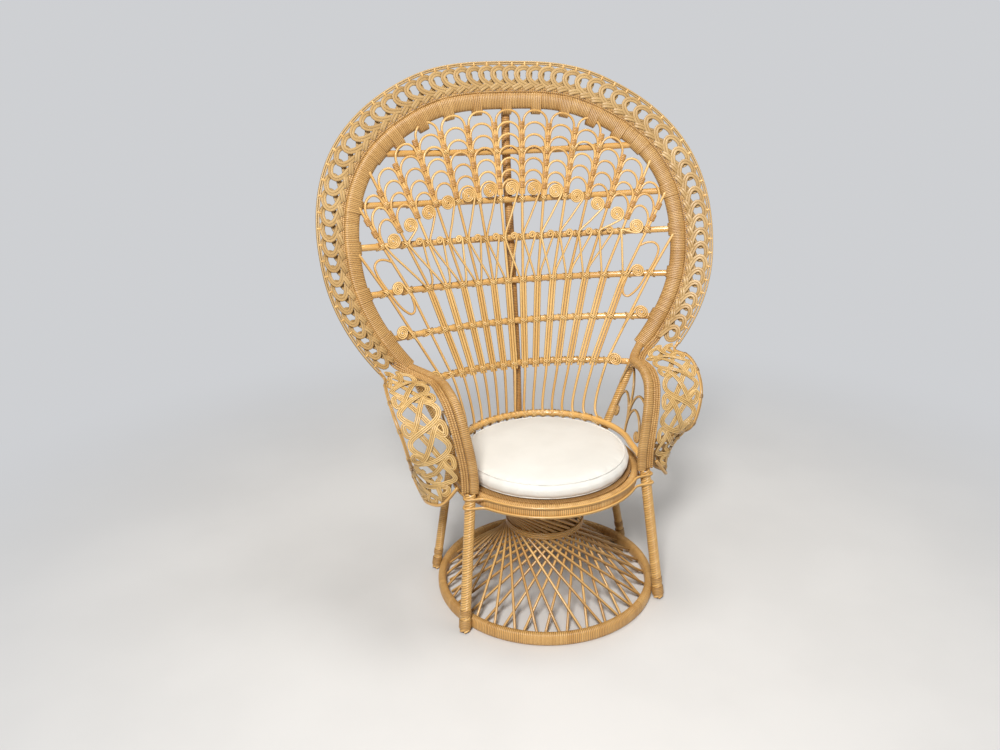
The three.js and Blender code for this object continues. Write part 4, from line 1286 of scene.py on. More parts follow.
@dataclass
class Fan(Part):
    """The stakes, their bundles, scrolls and arches, one piece for each stake."""

    reed: float = 8.4
    stem_reed: float = 6.7
    scroll_reed: float = 5.3
    arch_reed: float = 7.3
    layer: float = 13.6
    front_layer: float = 20.9
    small_radius: float = 10.8
    large_radius: float = 20.6
    large_height: float = 1143.0
    large_drop: float = 3.4
    last_small: int = 5
    last_large: int = 6
    arch_rise: float = 34.0
    arch_pitch: float = 33.8
    arch_leg: float = 20.0
    arch_foot: float = 6.0
    arch_clear: float = 21.5
    hug_clear: float = 27.0
    last_hug: int = 2
    hug_leg: float = 8.0
    last_short: float = 4.5
    seat_top: float = 395.3
    side_scrolls: Points = ((6.5, 375, 888), (7.5, 376, 766), (7.5, 292, 622))
    side_radius: float = 18.0
    side_stem: float = 55.0
    loop_low: float = 815.0
    loop_high: float = 972.0
    loop_route: tuple[tuple[float, float], ...] = (
        (0.04, 0.95), (0.24, 1.0), (0.5, 1.0), (0.74, 0.92), (0.87, 0.76), (0.9, 0.55), (0.88, 0.36),
        (0.82, 0.17), (0.68, 0.04), (0.5, -0.02), (0.3, 0.01), (0.14, 0.12), (0.06, 0.28))
    most_arches: int = 8
    binding_size: tuple[float, float] = (17.0, 12.5)
    binding_half: float = 8.5
    binding_pitch: float = 4.2
    bindings: list[Cane] = field(default_factory=list)

    def build(self) -> None:
        """Make every stake, then the bindings on them."""
        for number in range(int(2 * FAN.last) + 1):
            self._stake(number + 1, number - FAN.last)
        loom = Loom("column_bindings")
        loom.add(Section(*self.binding_size, 10, 2.4), self.bindings, self.finishes.binding)
        loom.piece(Slot.RATTAN)

    def _stake(self, number: int, place: float) -> None:
        """Make one stake and what grows from it."""
        loom = Loom(f"fan_stake_{number}")
        side = math.copysign(1.0, place)
        small = abs(place + 0.5) <= self.last_small
        large = abs(place - 0.5) <= self.last_large
        loom.add(Section(self.reed, self.reed, 10), [self._core(place)], self.finishes.reed)
        flanks = []
        if large and not small:
            flanks.append(self._flank(place, 1.0))
        scrolls = []
        if small:
            scrolls.append(self._small_scroll(place))
        if large:
            scrolls.append(self._large_scroll(place))
        for stake, x, z in self.side_scrolls:
            if stake == abs(place):
                scrolls.append(self._side_scroll(place, side, x, z))
        reeds = []
        if place == -0.5:
            reeds += self._arches(0, 1.0)
        cell = place + side / 2
        if abs(cell) <= self.last_large:
            reeds += self._arches(int(cell), side)
        if abs(place) == FAN.last - 1:
            reeds.append(self._long_loop(side))
        loom.add(Section(self.stem_reed, self.stem_reed, 8), flanks, self.finishes.reed)
        loom.add(Section(self.scroll_reed, self.scroll_reed + 0.8, 8), scrolls, self.finishes.coil)
        loom.add(Section(self.arch_reed, self.arch_reed, 8), reeds, self.finishes.reed)
        loom.piece(Slot.PALE, f"stake_{number}")
        self._bindings(place)

    def _arch_foot(self, place: float, number: int) -> float:
        """Height of the foot of an arch on a stake, counted from the scroll up."""
        clear = self.arch_clear + number * self.arch_pitch if number else self.hug_clear
        return self._scroll_height(place) + clear - self.arch_rise

    def _arch_count(self, cell: float) -> int:
        """Number of arches between the scroll of a cell and the hoop."""
        count = 0
        while count < self.most_arches:
            crown = self._arch_foot(cell, count) + self.arch_rise
            if FAN.margin(float(FAN.across(cell, crown)), crown) < -12.0:
                break
            count += 1
        return count

    def _core(self, place: float) -> Cane:
        """The reed that runs from the seat ring to the hoop, or to the topmost arch near the middle."""
        x = float(FAN.across(place, SHEET.foot))
        sixth = FAN.on_rail(place, FAN.rails[5])
        samples = [(x, z, -self.layer) for z in (self.seat_top, SHEET.foot, SHEET.foot + 19.0)]
        for z in (sixth - 28.0, sixth):
            samples.append((float(FAN.across(place, z)), z, self.layer))
        top = sixth
        while FAN.margin(FAN.across(place, top), top) > -10.0:
            top += 2.0
        if abs(place) <= self.last_short:
            count = max(self._arch_count(place - 0.5), self._arch_count(place + 0.5))
            top = min(top, self._arch_foot(place, count - 1) - 4.0)
        for z in np.linspace(sixth, top, 24)[1:]:
            samples.append((float(FAN.across(place, z)), z, self.layer))
        return capped(spline_on_sheet(samples, 9.0, self.draw.random()), 2.0)

    def _beside(self, place: float, hand: float) -> list[tuple[float, float, float]]:
        """Points of a reed beside the stake, from the sixth rail to the fourth."""
        low = FAN.on_rail(place, FAN.rails[5]) - 14.0
        high = FAN.on_rail(place, FAN.rails[3])
        aside = hand * (self.reed + self.stem_reed) / 2 * 1.03
        heights = np.linspace(low, high, 9)
        return [(float(FAN.across(place, z)) + aside, float(z), self.layer) for z in heights]

    def _flank(self, place: float, hand: float) -> Cane:
        """A reed beside the stake that ends on the fourth rail."""
        return capped(spline_on_sheet(self._beside(place, hand), 12.0, self.draw.random()), 3.0)

    def _scroll(self, stem: list[tuple[float, float, float]], middle: tuple[float, float], radius: float,
                hand: float) -> Cane:
        """A reed whose stem runs straight on to a tight flat spiral.

        Args:
            stem: Distance across, height and depth of the stem's points, from its root.
            middle: Distance across and height of the middle of the spiral.
            radius: Radius of the outermost turn.
            hand: One to wind counter-clockwise as seen from the front, or minus one.

        Returns:
            The reed.
        """
        gap = np.array(stem[-1][:2]) - np.array(middle)
        start = math.atan2(gap[1], gap[0]) + hand * math.acos(min(1.0, radius / float(np.hypot(*gap))))
        inner = 0.42 * self.scroll_reed
        turns = (radius - inner) / (0.95 * self.scroll_reed)
        share = np.linspace(0.0, 1.0, int(18 * turns) + 1)
        angle = start + hand * 2 * np.pi * turns * share
        reach = radius + (inner - radius) * share
        coil = np.stack((middle[0] + reach * np.cos(angle), middle[1] + reach * np.sin(angle),
                         np.full_like(share, stem[-1][2])), axis=1)
        halfway = (np.array(stem[-1]) + coil[0]) / 2
        lead = even(smooth_line(np.vstack((np.array(stem), halfway, coil[:1]))), 8.0)[:-1]
        route = np.vstack((lead, coil))
        stout = self.stem_reed / self.scroll_reed
        taper = np.interp(share * turns, (0.0, 0.3), (stout, 1.0))
        swell = np.concatenate((np.full(len(lead), stout), taper))
        return capped(on_sheet(route[:, 0], route[:, 1], route[:, 2], self.draw.random(), swell), 2.0)

    def _small_scroll(self, place: float) -> Cane:
        """The reed that stays in its cell and ends in a small scroll on the third rail."""
        x = float(FAN.across(place + 0.5, FAN.rails[2]))
        foot = FAN.on_rail(place, FAN.rails[3])
        z = float(FAN.rail_height(FAN.rails[2], x)) + 5.0
        stem = self._beside(place, 1.0)
        stem.append((stem[-1][0] + 1.5, foot + 22.0, self.front_layer - 3.0))
        return self._scroll(stem, (x, z), self.small_radius, 1.0)

    def _scroll_height(self, cell: float) -> float:
        """Height of the middle of a large scroll."""
        return self.large_height - self.large_drop * cell ** 2

    def _large_scroll(self, place: float) -> Cane:
        """The reed that crosses its neighbour and ends in a large scroll over the second rail."""
        cell = place - 0.5
        z = self._scroll_height(cell)
        foot = FAN.on_rail(place, FAN.rails[3])
        crossing = FAN.on_rail(place - 1, FAN.rails[2]) - 4.0
        stem = self._beside(place, -1.0)
        bend = (float(FAN.across(place - 1, crossing)) + 1.0, crossing)
        start = stem[-1][0]
        for share in (0.16, 0.5, 0.86):
            x = start + share * (bend[0] - start)
            stem.append((x, foot + share * (bend[1] - foot), self.front_layer))
        stem.append((bend[0], bend[1] + 8.0, self.front_layer))
        return self._scroll(stem, (float(FAN.across(cell, z)), z), self.large_radius, 1.0)

    def _side_scroll(self, place: float, side: float, across: float, z: float) -> Cane:
        """A scroll on a short stem beside an outer stake."""
        root = z - self.side_stem
        towards = math.copysign(1.0, float(FAN.across(abs(place), z)) - across)
        stem = [(side * float(FAN.across(abs(place), root)), root, self.layer),
                (side * float(FAN.across(abs(place), root + 14.0)), root + 14.0, self.layer + 2.0)]
        return self._scroll(stem, (side * across, z), self.side_radius, side * towards)

    def _long_loop(self, side: float) -> Cane:
        """The long loop between the two outermost stakes."""
        inner = FAN.last - 1
        tall = self.loop_high - self.loop_low
        samples = []
        for outwards, share in self.loop_route:
            z = self.loop_low + share * tall
            samples.append((side * float(FAN.across(inner + outwards, z)), z, self.layer))
        return capped(spline_on_sheet(samples, 7.0, self.draw.random()), 2.0)

    def _arches(self, cell: int, outwards: float) -> list[Cane]:
        """Arches of a cell, with legs that run down beside the stakes on both sides."""
        arches = []
        angle = np.linspace(0.0, np.pi, 17)
        near, far = cell - 0.5 * outwards, cell + 0.5 * outwards
        for number in range(0 if abs(cell) <= self.last_hug else 1, self._arch_count(cell)):
            legs = np.linspace(-self.arch_leg if number else -self.hug_leg, 0.0, 4)[:-1]
            feet = self._arch_foot(near, number), self._arch_foot(far, number)
            base = feet[0] + (feet[1] - feet[0]) * (1.0 - np.cos(angle)) / 2
            z = base + self.arch_rise * np.sin(angle)
            inset = self.arch_foot / FAN.spacing(z)
            x = FAN.across(cell - outwards * (0.5 - inset) * np.cos(angle), z)
            before, after = feet[0] + legs, feet[1] + legs[::-1]
            x = np.concatenate((FAN.across(near, before) + outwards * self.arch_foot, x,
                                FAN.across(far, after) - outwards * self.arch_foot))
            z = np.concatenate((before, z, after))
            inside = np.cumprod(FAN.margin(x, z) > -14.0).astype(bool)
            if inside.sum() > 3:
                arches.append(capped(on_sheet(x[inside], z[inside], self.layer, self.draw.random()), 2.0))
        return arches

    def _bindings(self, place: float) -> None:
        """Note the windings that tie the feet of the arches to a stake."""
        if abs(place) > self.last_large + 0.5:
            return
        cells = [cell for cell in (place - 0.5, place + 0.5) if abs(cell) <= self.last_large]
        for number in range(1, max(self._arch_count(cell) for cell in cells)):
            z = self._arch_foot(place, number) - 0.5 * self.arch_leg
            heights = np.linspace(z - self.binding_half, z + self.binding_half, 4)
            x = FAN.across(place, heights)
            if FAN.margin(x[-1], heights[-1]) < -4.0:
                continue
            line = SHEET.at(x, heights, self.layer)
            facing = SHEET.facing(x, heights)
            self.bindings.append(wrapped(line, facing, self.binding_pitch, 0.08, self.draw.random()))


@dataclass
class CentrePost:
    """The post behind the fan."""

    finishes: Finishes
    diameter: float = 26.0
    pitch: float = 5.2
    seat_reach: float = 273.3
    seat_heights: tuple[float, float] = (360.0, 395.0)
    rail: float = 19.0
    stake: float = 7.0
    stake_layer: float = 13.6
    top: tuple[float, float] = (1370.0, -9.0)

    def build(self) -> None:
        """Make the wound post."""
        outside = self.seat_reach + self.diameter / 2 - SHEET.foot_radius
        behind = (self.rail + self.diameter) / 2 + 0.6
        low = max(self.stake_layer + (self.stake + self.diameter) / 2 + 0.3, outside)
        samples = [(0.0, z, -outside) for z in self.seat_heights]
        samples.append((0.0, SHEET.foot, -low))
        samples += [(0.0, FAN.rails[number], -behind) for number in (5, 3, 0)]
        samples.append((0.0, *self.top))
        route = even(smooth_line(np.array(samples, float)), 12.0)
        line = SHEET.at(route[:, 0], route[:, 1], route[:, 2])
        loom = Loom("post_winding")
        section = Section(self.diameter, self.diameter, 14)
        loom.add(section, [wrapped(line, FORWARDS, self.pitch, GROOVE, 0.61)], self.finishes.binding)
        loom.piece(Slot.DARK, "centre_post")


@dataclass
class Base(Part):
    """The floor ring, the crossed rods and the reeds round their waist."""

    ring_radius: float = 326.0
    ring_height: float = 38.0
    ring_wall: float = 22.0
    waist: float = 108.0
    waist_height: float = 213.0
    rods: int = 30
    rod: float = 7.8
    head_radius: float = 245.1
    foot_radius: float = 299.1
    waist_reed: float = 6.6
    waist_reeds: int = 3
    waist_gap: float = 0.2
    inner_waist: float = 92.6
    inner_run: float = 1.345
    seat_under: float = 388.0
    pitch: float = 5.2
    rod_tuck: float = 6.0

    def build(self) -> None:
        """Make the ring, the rods and the waist."""
        loom = Loom("floor_ring_winding")
        middle = self.ring_radius - self.ring_wall / 2
        line = circle(middle, self.ring_height / 2, 181)
        section = Section(self.ring_wall + 2.0, self.ring_height, 18, 2.7)
        # The ring winding is brighter than the golden winding: painted light on the floor ring.
        loom.add(section, [wrapped(line, UP, self.pitch, GROOVE, 0.2, True)], self.finishes.ring)
        loom.piece(Slot.RATTAN, "floor_ring")
        rise = self.waist_height - self.ring_height / 2
        outer_run = math.sqrt(self.foot_radius ** 2 - self.waist ** 2) / rise
        self._layer("outer", self.waist, outer_run, -1.0, 1.0)
        self._layer("inner", self.inner_waist, self.inner_run, 1.0, -1.0)

    def _layer(self, word: str, waist: float, run: float, hand: float, out: float) -> None:
        """Make one layer of rods that all lean the same way, with its waist reeds."""
        low = -math.sqrt((self.foot_radius + self.rod_tuck) ** 2 - waist ** 2) / run
        high = math.sqrt((self.head_radius + self.rod_tuck) ** 2 - waist ** 2) / run
        low = max(low, self.rod - self.waist_height)
        high = min(high, self.seat_under - self.rod / 2 - self.waist_height)
        rise = np.linspace(low, high, 5)
        canes = []
        for number in range(self.rods):
            angle = 2 * math.pi * number / self.rods
            line = np.stack((
                waist * math.cos(angle) - hand * run * rise * math.sin(angle),
                waist * math.sin(angle) + hand * run * rise * math.cos(angle),
                self.waist_height + rise,
            ), axis=1)
            canes.append(capped(self.cane(line), 2.0))
        loom = Loom(f"base_rods_{word}_layer")
        loom.add(Section(self.rod, self.rod, 10), canes, self.finishes.rod)
        reeds = []
        radius = waist + out * (self.rod / 2 + 0.3 * self.waist_reed)
        for step in np.arange(self.waist_reeds) - (self.waist_reeds - 1) / 2:
            height = self.waist_height + step * (self.waist_reed + self.waist_gap)
            reeds.append(self.cane(circle(radius, height, 97)))
        loom.add(Section(self.waist_reed * 0.8, self.waist_reed, 10), reeds, self.finishes.reed)
        loom.piece(Slot.PALE, f"base_rods_{word}")


def circle(radius: float, height: float, count: int) -> Array:
    """A level circle about the chair's axis, back to its first point."""
    angle = np.linspace(0.0, 2 * np.pi, count)
    return np.stack((radius * np.cos(angle), radius * np.sin(angle), np.full(count, height)), axis=1)


@dataclass
class Legs(Part):
    """The four wound legs and the rear posts that go on from the rear ones."""

    front: Points = ((292.0, -189.6, 0.0), (252.0, -142.6, 402.0))
    rear: Points = ((314.0, 146.4, 0.0), tuple(REAR_LEG_HEAD))
    front_diameter: float = 30.0
    rear_diameter: float = 26.0
    canes: int = 5
    pitch: float = 36.0
    strip: float = 2.0
    strip_cover: float = 0.93
    foot_lift: float = 5.0
    sleeve_pitch: float = 5.0
    sleeves: Points = ((9.0, 34.0, 1.16), (47.0, 63.0, 1.1))

    def build(self) -> None:
        """Make the legs and posts of both sides."""
        post = (self.rear[1], tuple(HOOP_FOOT))
        for side in Side:
            self._pole(side, "front_leg", self.front, self.front_diameter)
            self._pole(side, "rear_leg", self.rear, self.rear_diameter)
            self._pole(side, "rear_post", post, self.rear_diameter)

    def _pole(self, side: Side, part: str, ends: tuple[tuple[float, ...], ...], diameter: float) -> None:
        """Make one straight pole with canes wound side by side round it, and its foot."""
        start, end = (np.array(place, float) for place in ends)
        standing = start[2] == 0.0
        if standing:
            start = start + (end - start) * self.foot_lift / end[2]
        loom = Loom(f"{part}_winding_{side.word}")
        line = mirrored(np.linspace(start, end, 12), side)
        core = Section(diameter - self.strip, diameter - self.strip, 14)
        loom.add(core, [capped(self.cane(line, SIDEWAYS), 1.5)], self.finishes.brown)
        strip = Section(self.strip_cover * self.pitch / self.canes, self.strip, 6, 2.6)
        loom.add(strip, self._helix(line, diameter), self.finishes.reed)
        if standing:
            for low, high, swell in self.sleeves:
                span = start + (end - start) * np.linspace(low, high, 8)[:, None] / end[2]
                span = mirrored(span, side)
                sleeve = wrapped(span, SIDEWAYS, self.sleeve_pitch, GROOVE, self.draw.random())
                loom.add(Section(diameter * swell, diameter * swell, 16), [sleeve], self.finishes.winding)
        loom.piece(Slot.RATTAN, f"{part}_{side.word}")

    def _helix(self, line: Array, diameter: float) -> list[Cane]:
        """Canes that run side by side round a straight pole."""
        whole = lengths(line)[-1]
        along = np.linspace(0.0, whole, int(16 * whole / self.pitch))
        way = unit(line[-1] - line[0])
        first = unit(np.cross(way, np.array((0.0, 1.0, 0.0))))
        second = np.cross(way, first)
        canes = []
        for number in range(self.canes):
            angle = 2 * np.pi * (along / self.pitch + number / self.canes)
            out = np.cos(angle)[:, None] * first + np.sin(angle)[:, None] * second
            spiral = resample(line, along) + (diameter - self.strip) / 2 * out
            canes.append(capped(self.cane(spiral, out), 1.0))
        return canes


@dataclass
class Seat(Part):
    """The wound seat ring with the beading that loops round the legs."""

    legs: Legs
    radius: float = 270.0
    bottom: float = 360.0
    height: float = 35.0
    wall: float = 20.0
    bead: float = 7.4
    loop_width: float = 4.6
    pitch: float = 5.2

    def build(self) -> None:
        """Make the ring and the reeds that run round it."""
        loom = Loom("seat_ring_winding")
        line = circle(self.radius - self.wall / 2, self.bottom + self.height / 2, 181)
        section = Section(self.wall, self.height, 18, 3.4)
        # The ring winding is brighter than the golden winding: painted light on the seat ring.
        loom.add(section, [wrapped(line, UP, self.pitch, GROOVE, 0.8, True)], self.finishes.ring)
        beads = []
        for height in (self.bottom + 0.6 * self.bead, self.bottom + self.height - 0.6 * self.bead):
            beads.append(self.cane(self._beading(height)))
        loom.add(Section(self.bead, self.bead, 10), beads, self.finishes.reed)
        loom.piece(Slot.RATTAN, "seat_ring")

    def _beading(self, height: float) -> Array:
        """A circle at a height that bends out round each leg."""
        angle = np.linspace(0.0, 2 * np.pi, 361)
        reach = np.full_like(angle, self.radius + 0.25 * self.bead)
        pairs = ((self.legs.front, self.legs.front_diameter), (self.legs.rear, self.legs.rear_diameter))
        for ends, diameter in pairs:
            foot, head = (np.array(place, float) for place in ends)
            middle = foot + (head - foot) * height / head[2]
            over = float(np.hypot(middle[0], middle[1])) + (diameter + self.bead) / 2 - reach[0]
            for side in Side:
                at = math.atan2(middle[1], side.value * middle[0])
                away = np.degrees(np.angle(np.exp(1j * (angle - at))))
                reach = reach + over * np.exp(-(away / self.loop_width) ** 2)
        return np.stack((reach * np.cos(angle), reach * np.sin(angle), np.full_like(angle, height)), axis=1)


@dataclass
class Arms(Part):
    """The wound arms, the beaded reeds along them, the scrolls inside and the plaited wings."""

    stations: Points = (
        (293, 50, 662), (283, -40, 662), (273, -98, 638), (262, -126, 588), (250, -139, 520),
        (242, -143, 455))
    foot: tuple[float, float, float] = (242.0, -142.6, 380.0)
    width: float = 26.0
    thickness: float = 22.0
    pitch: float = 5.0
    edge_width: float = 21.0
    edge_reeds: int = 3
    edge_lead: tuple[float, float, float] = (372, 118, 676)
    wing_stations: Points = (
        (444, 0, 674), (442, -52, 656), (433, -104, 615), (419, -125, 565), (406, -113, 503), (393, -35, 447),
        (381, 55, 391), (372, 74, 352), (360, 20, 327), (354, -60, 345), (325, -125, 372))
    wing_fold: float = 0.38
    wing_bottom: float = 0.75
    edge_start: float = 0.1
    edge_fold: float = 0.8
    edge_end: float = 0.93
    wing_turn: float = 0.6
    rim_end: float = 0.985
    leg_top: float = 402.0
    reed: float = 8.0
    arches: Points = ((152, 560, 78), (-135, 500, 88))
    coils: Points = ((112, 490, 70), (-92, 474, 66))
    arch_foot: float = 5.0
    coil_radius: float = 16.0
    ribbons: tuple[tuple[float, ...], ...] = (
        (4.0, 0.0, 0.05, 0.41, 0.4), (4.0, 0.5, 0.05, 0.41, -0.4),
        (4.0, 0.25, 0.0, 0.39, -0.2), (4.0, 0.75, 0.0, 0.39, 0.2))
    plait_layer: float = 2.8
    plait_strand: float = 5.0
    plait_rows: int = 3
    plait_thickness: float = 3.2
    plait_span: tuple[float, float] = (0.02, 0.98)
    plait_limits: tuple[float, float] = (0.012, 0.985)
    turn_points: int = 80
    rim_reed: float = 9.4
    tie_over: float = 3.0
    tie_half: float = 5.0
    tie_pitch: float = 3.4
    lean: tuple[float, float] = (0.12, 0.295)
    lean_from: float = -130.0
    lean_over: float = 280.0
    arm_line: Array = field(init=False)
    edge_line: Array = field(init=False)
    rim_line: Array = field(init=False)

    def build(self) -> None:
        """Make both arms."""
        self.arm_line = smooth_line(np.vstack((HOOP_FOOT, np.array(self.stations, float), self.foot)), 16)
        offset = np.array(((self.width + self.edge_width) / 2 + 0.9, 0.0, 0.0))
        along_arm = self.arm_line[16:]
        self.edge_line = smooth_line(np.vstack((self._lead(HOOP, 30.3), np.array(self.edge_lead, float),
                                                along_arm[::8] + offset)), 10)
        end = np.array(self.foot) + offset + np.array((self.edge_width, 0.0, 2 * self.edge_width))
        rim = np.vstack((self._lead(RIM, 0.0), np.array(self.wing_stations, float), end))
        self.rim_line = smooth_line(rim, 14)
        for side in Side:
            self._arm(side)
            self._beads(side)
            self._scrolls(side)
            self._wing(side)

    def _lead(self, outline: Outline, outwards: float) -> Array:
        """Two points that carry on from the end of the trim or the rim."""
        ends = []
        for degrees in (112.5, 120.0):
            shift = trim_offset(np.array(degrees), outwards) if outwards else 0.0
            x, z = outline.spot(degrees, shift)
            ends.append(SHEET.at(x, z, 4.0))
        onward = unit(ends[1] - ends[0])
        return np.stack([ends[1] + way * onward for way in (0.6, self.edge_width)])

    def _above(self, line: Array) -> Array:
        """Cut off the end of a line that goes on below the head of the leg."""
        return line[line[:, 2] > self.leg_top + 1.0]

    @staticmethod
    def _facing(line: Array) -> Array:
        """The way that the top of an arm looks."""
        return unit(np.cross(tangents(line), SIDEWAYS))

    def _arm(self, side: Side) -> None:
        """Make the wound arm."""
        line = mirrored(even(self._above(self.arm_line), 10.0), side)
        facing = self._facing(line)
        loom = Loom(f"arm_winding_{side.word}")
        section = Section(self.width, self.thickness, 16, 2.7)
        winding = wrapped(line, facing, self.pitch, GROOVE, self.draw.random())
        loom.add(section, [winding], self.finishes.winding)
        loom.piece(Slot.RATTAN, f"arm_{side.word}")

    def _beads(self, side: Side) -> None:
        """Make the beaded reeds along the arm's outer edge."""
        line = even(self._above(self.edge_line), 8.0)
        facing = self._facing(line)
        across = unit(np.cross(facing, tangents(line)))
        loom = Loom(f"arm_beads_{side.word}")
        canes = []
        wide = self.edge_width / self.edge_reeds
        for row in np.arange(self.edge_reeds) - (self.edge_reeds - 1) / 2:
            reed = mirrored(line + row * wide * across, side)
            canes.append(wrapped(reed, mirrored(facing, side), 6.0, BEAD_GROOVE, self.draw.random()))
        loom.add(Section(wide, wide + 2.0, 8), canes, self.finishes.beads)
        loom.piece(Slot.DARK, f"arm_edge_{side.word}")

    def _inside(self, y: Array, z: Array) -> Array:
        """A point of the sheet inside the arm."""
        y, z = np.broadcast_arrays(np.asarray(y, float), np.asarray(z, float))
        lean = self.lean[0] + self.lean[1] * ((y - self.lean_from) / self.lean_over) ** 2
        return np.stack((SHEET.foot_radius + lean * (z - SHEET.foot), y, z), axis=-1)

    def _scrolls(self, side: Side) -> None:
        """Make the stem, the arches and the scrolls between the arm and the seat rail."""
        routes = [np.array(((self.arch_foot, SHEET.foot + 9.0), (self.arch_foot, 560.0)))]
        angle = np.linspace(0.0, np.pi, 20)
        for far, foot, rise in self.arches + self.coils:
            middle = (self.arch_foot + far) / 2
            half = (far - self.arch_foot) / 2
            routes.append(np.stack((middle - half * np.cos(angle), foot + rise * np.sin(angle)), axis=1))
        for number, (far, foot, _) in enumerate(self.coils, start=1 + len(self.arches)):
            hand = math.copysign(1.0, far)
            turn = np.linspace(0.0, 2 * np.pi * 2.0, 40)
            reach = self.coil_radius + (3.4 - self.coil_radius) * turn / turn[-1]
            coil = np.stack((far - hand * self.coil_radius + hand * reach * np.cos(turn),
                             foot - reach * np.sin(turn)), axis=1)
            routes[number] = np.vstack((routes[number], coil[1:]))
        canes = []
        for route in routes:
            line = mirrored(self._inside(route[:, 0], route[:, 1]), side)
            canes.append(capped(self.cane(line, SIDEWAYS * side.value), 2.0))
        loom = Loom(f"arm_scrolls_{side.word}")
        loom.add(Section(self.reed, self.reed, 8), canes, self.finishes.pale)
        loom.piece(Slot.PALE, f"arm_arches_{side.word}")

    def _wing_place(self, share: Array, reach: Array) -> Array:
        """A point of the wing.

        Args:
            share: Down the wing, from the hoop at nought through the fold at a half to its bottom at one.
            reach: Across it, from the arm's edge at nought to the rim at one.

        Returns:
            The point on the chair's left side.
        """
        share = np.clip(np.asarray(share, float), 0.0, 1.0)
        rim = resample(self.rim_line, self._along_rim(share))
        along_edge = np.array((self.edge_start, self.edge_fold, self.edge_end)) * lengths(self.edge_line)[-1]
        beside = self.edge_line + np.array((self.edge_width / 2, 0.0, 0.0))
        upper = resample(beside, np.interp(share, (0.0, 0.5, self.wing_turn), along_edge))
        back = np.interp(share, (self.wing_turn, 1.0), (self.rim_end, self.wing_bottom))
        back = resample(self.rim_line, back * lengths(self.rim_line)[-1])
        edge = np.where((share < self.wing_turn)[:, None], upper, back)
        return edge + (rim - edge) * np.asarray(reach, float)[:, None]

    def _along_rim(self, share: Array) -> Array:
        """Distance along the rim that belongs to a share down the wing."""
        place = np.interp(share, (0.0, 0.5, 1.0), (0.0, self.wing_fold, self.wing_bottom))
        return place * lengths(self.rim_line)[-1]

    def _wing_facing(self, share: Array) -> Array:
        """The way that the front of the wing looks along it."""
        ahead = self._wing_place(share + 0.01, np.full_like(share, 0.5))
        behind = self._wing_place(share - 0.01, np.full_like(share, 0.5))
        across = self._wing_place(share, np.ones_like(share)) - self._wing_place(share, np.zeros_like(share))
        return unit(np.cross(ahead - behind, across))

    def _wing(self, side: Side) -> None:
        """Make the plaited wing, its rim and the ties on it."""
        loom = Loom(f"wing_plait_{side.word}")
        canes = []
        for turns, phase, curl, reach, lift in self.ribbons:
            down = np.linspace(*self.plait_span, int(self.turn_points * turns))
            swing = 2 * np.pi * (turns * down + phase)
            share = np.clip(down - curl * np.sin(2 * swing), *self.plait_limits)
            facing = self._wing_facing(share)
            layer = lift + self.plait_layer * np.sin(3 * swing)
            middle = self._wing_place(share, 0.5 + reach * np.cos(swing)) + facing * layer[:, None]
            over = unit(np.cross(facing, tangents(middle)))
            for row in np.arange(self.plait_rows) - (self.plait_rows - 1) / 2:
                line = mirrored(middle + over * row * self.plait_strand, side)
                canes.append(capped(self.cane(line, mirrored(facing, side)), 1.5))
        loom.add(Section(self.plait_strand, self.plait_thickness, 6, 2.6), canes, self.finishes.plait)
        rim = mirrored(even(self.rim_line, 9.0), side)
        rim_cane = capped(self.cane(rim, SIDEWAYS), 3.0)
        loom.add(Section(self.rim_reed, self.rim_reed, 10), [rim_cane], self.finishes.reed)
        tie = self.rim_reed + self.tie_over
        loom.add(Section(tie, tie, 10), self._rim_ties(side), self.finishes.pale)
        loom.piece(Slot.PALE, f"wing_{side.word}")

    def _rim_ties(self, side: Side) -> list[Cane]:
        """Short windings that hold the turns of the plait to the rim."""
        ties = []
        loops = 2 * self.ribbons[0][0]
        for turn in np.arange(1, int(loops)):
            places = self._along_rim(turn / loops) + np.linspace(-self.tie_half, self.tie_half, 4)
            line = mirrored(resample(self.rim_line, places), side)
            ties.append(wrapped(line, SIDEWAYS, self.tie_pitch, 0.06, self.draw.random()))
        return ties


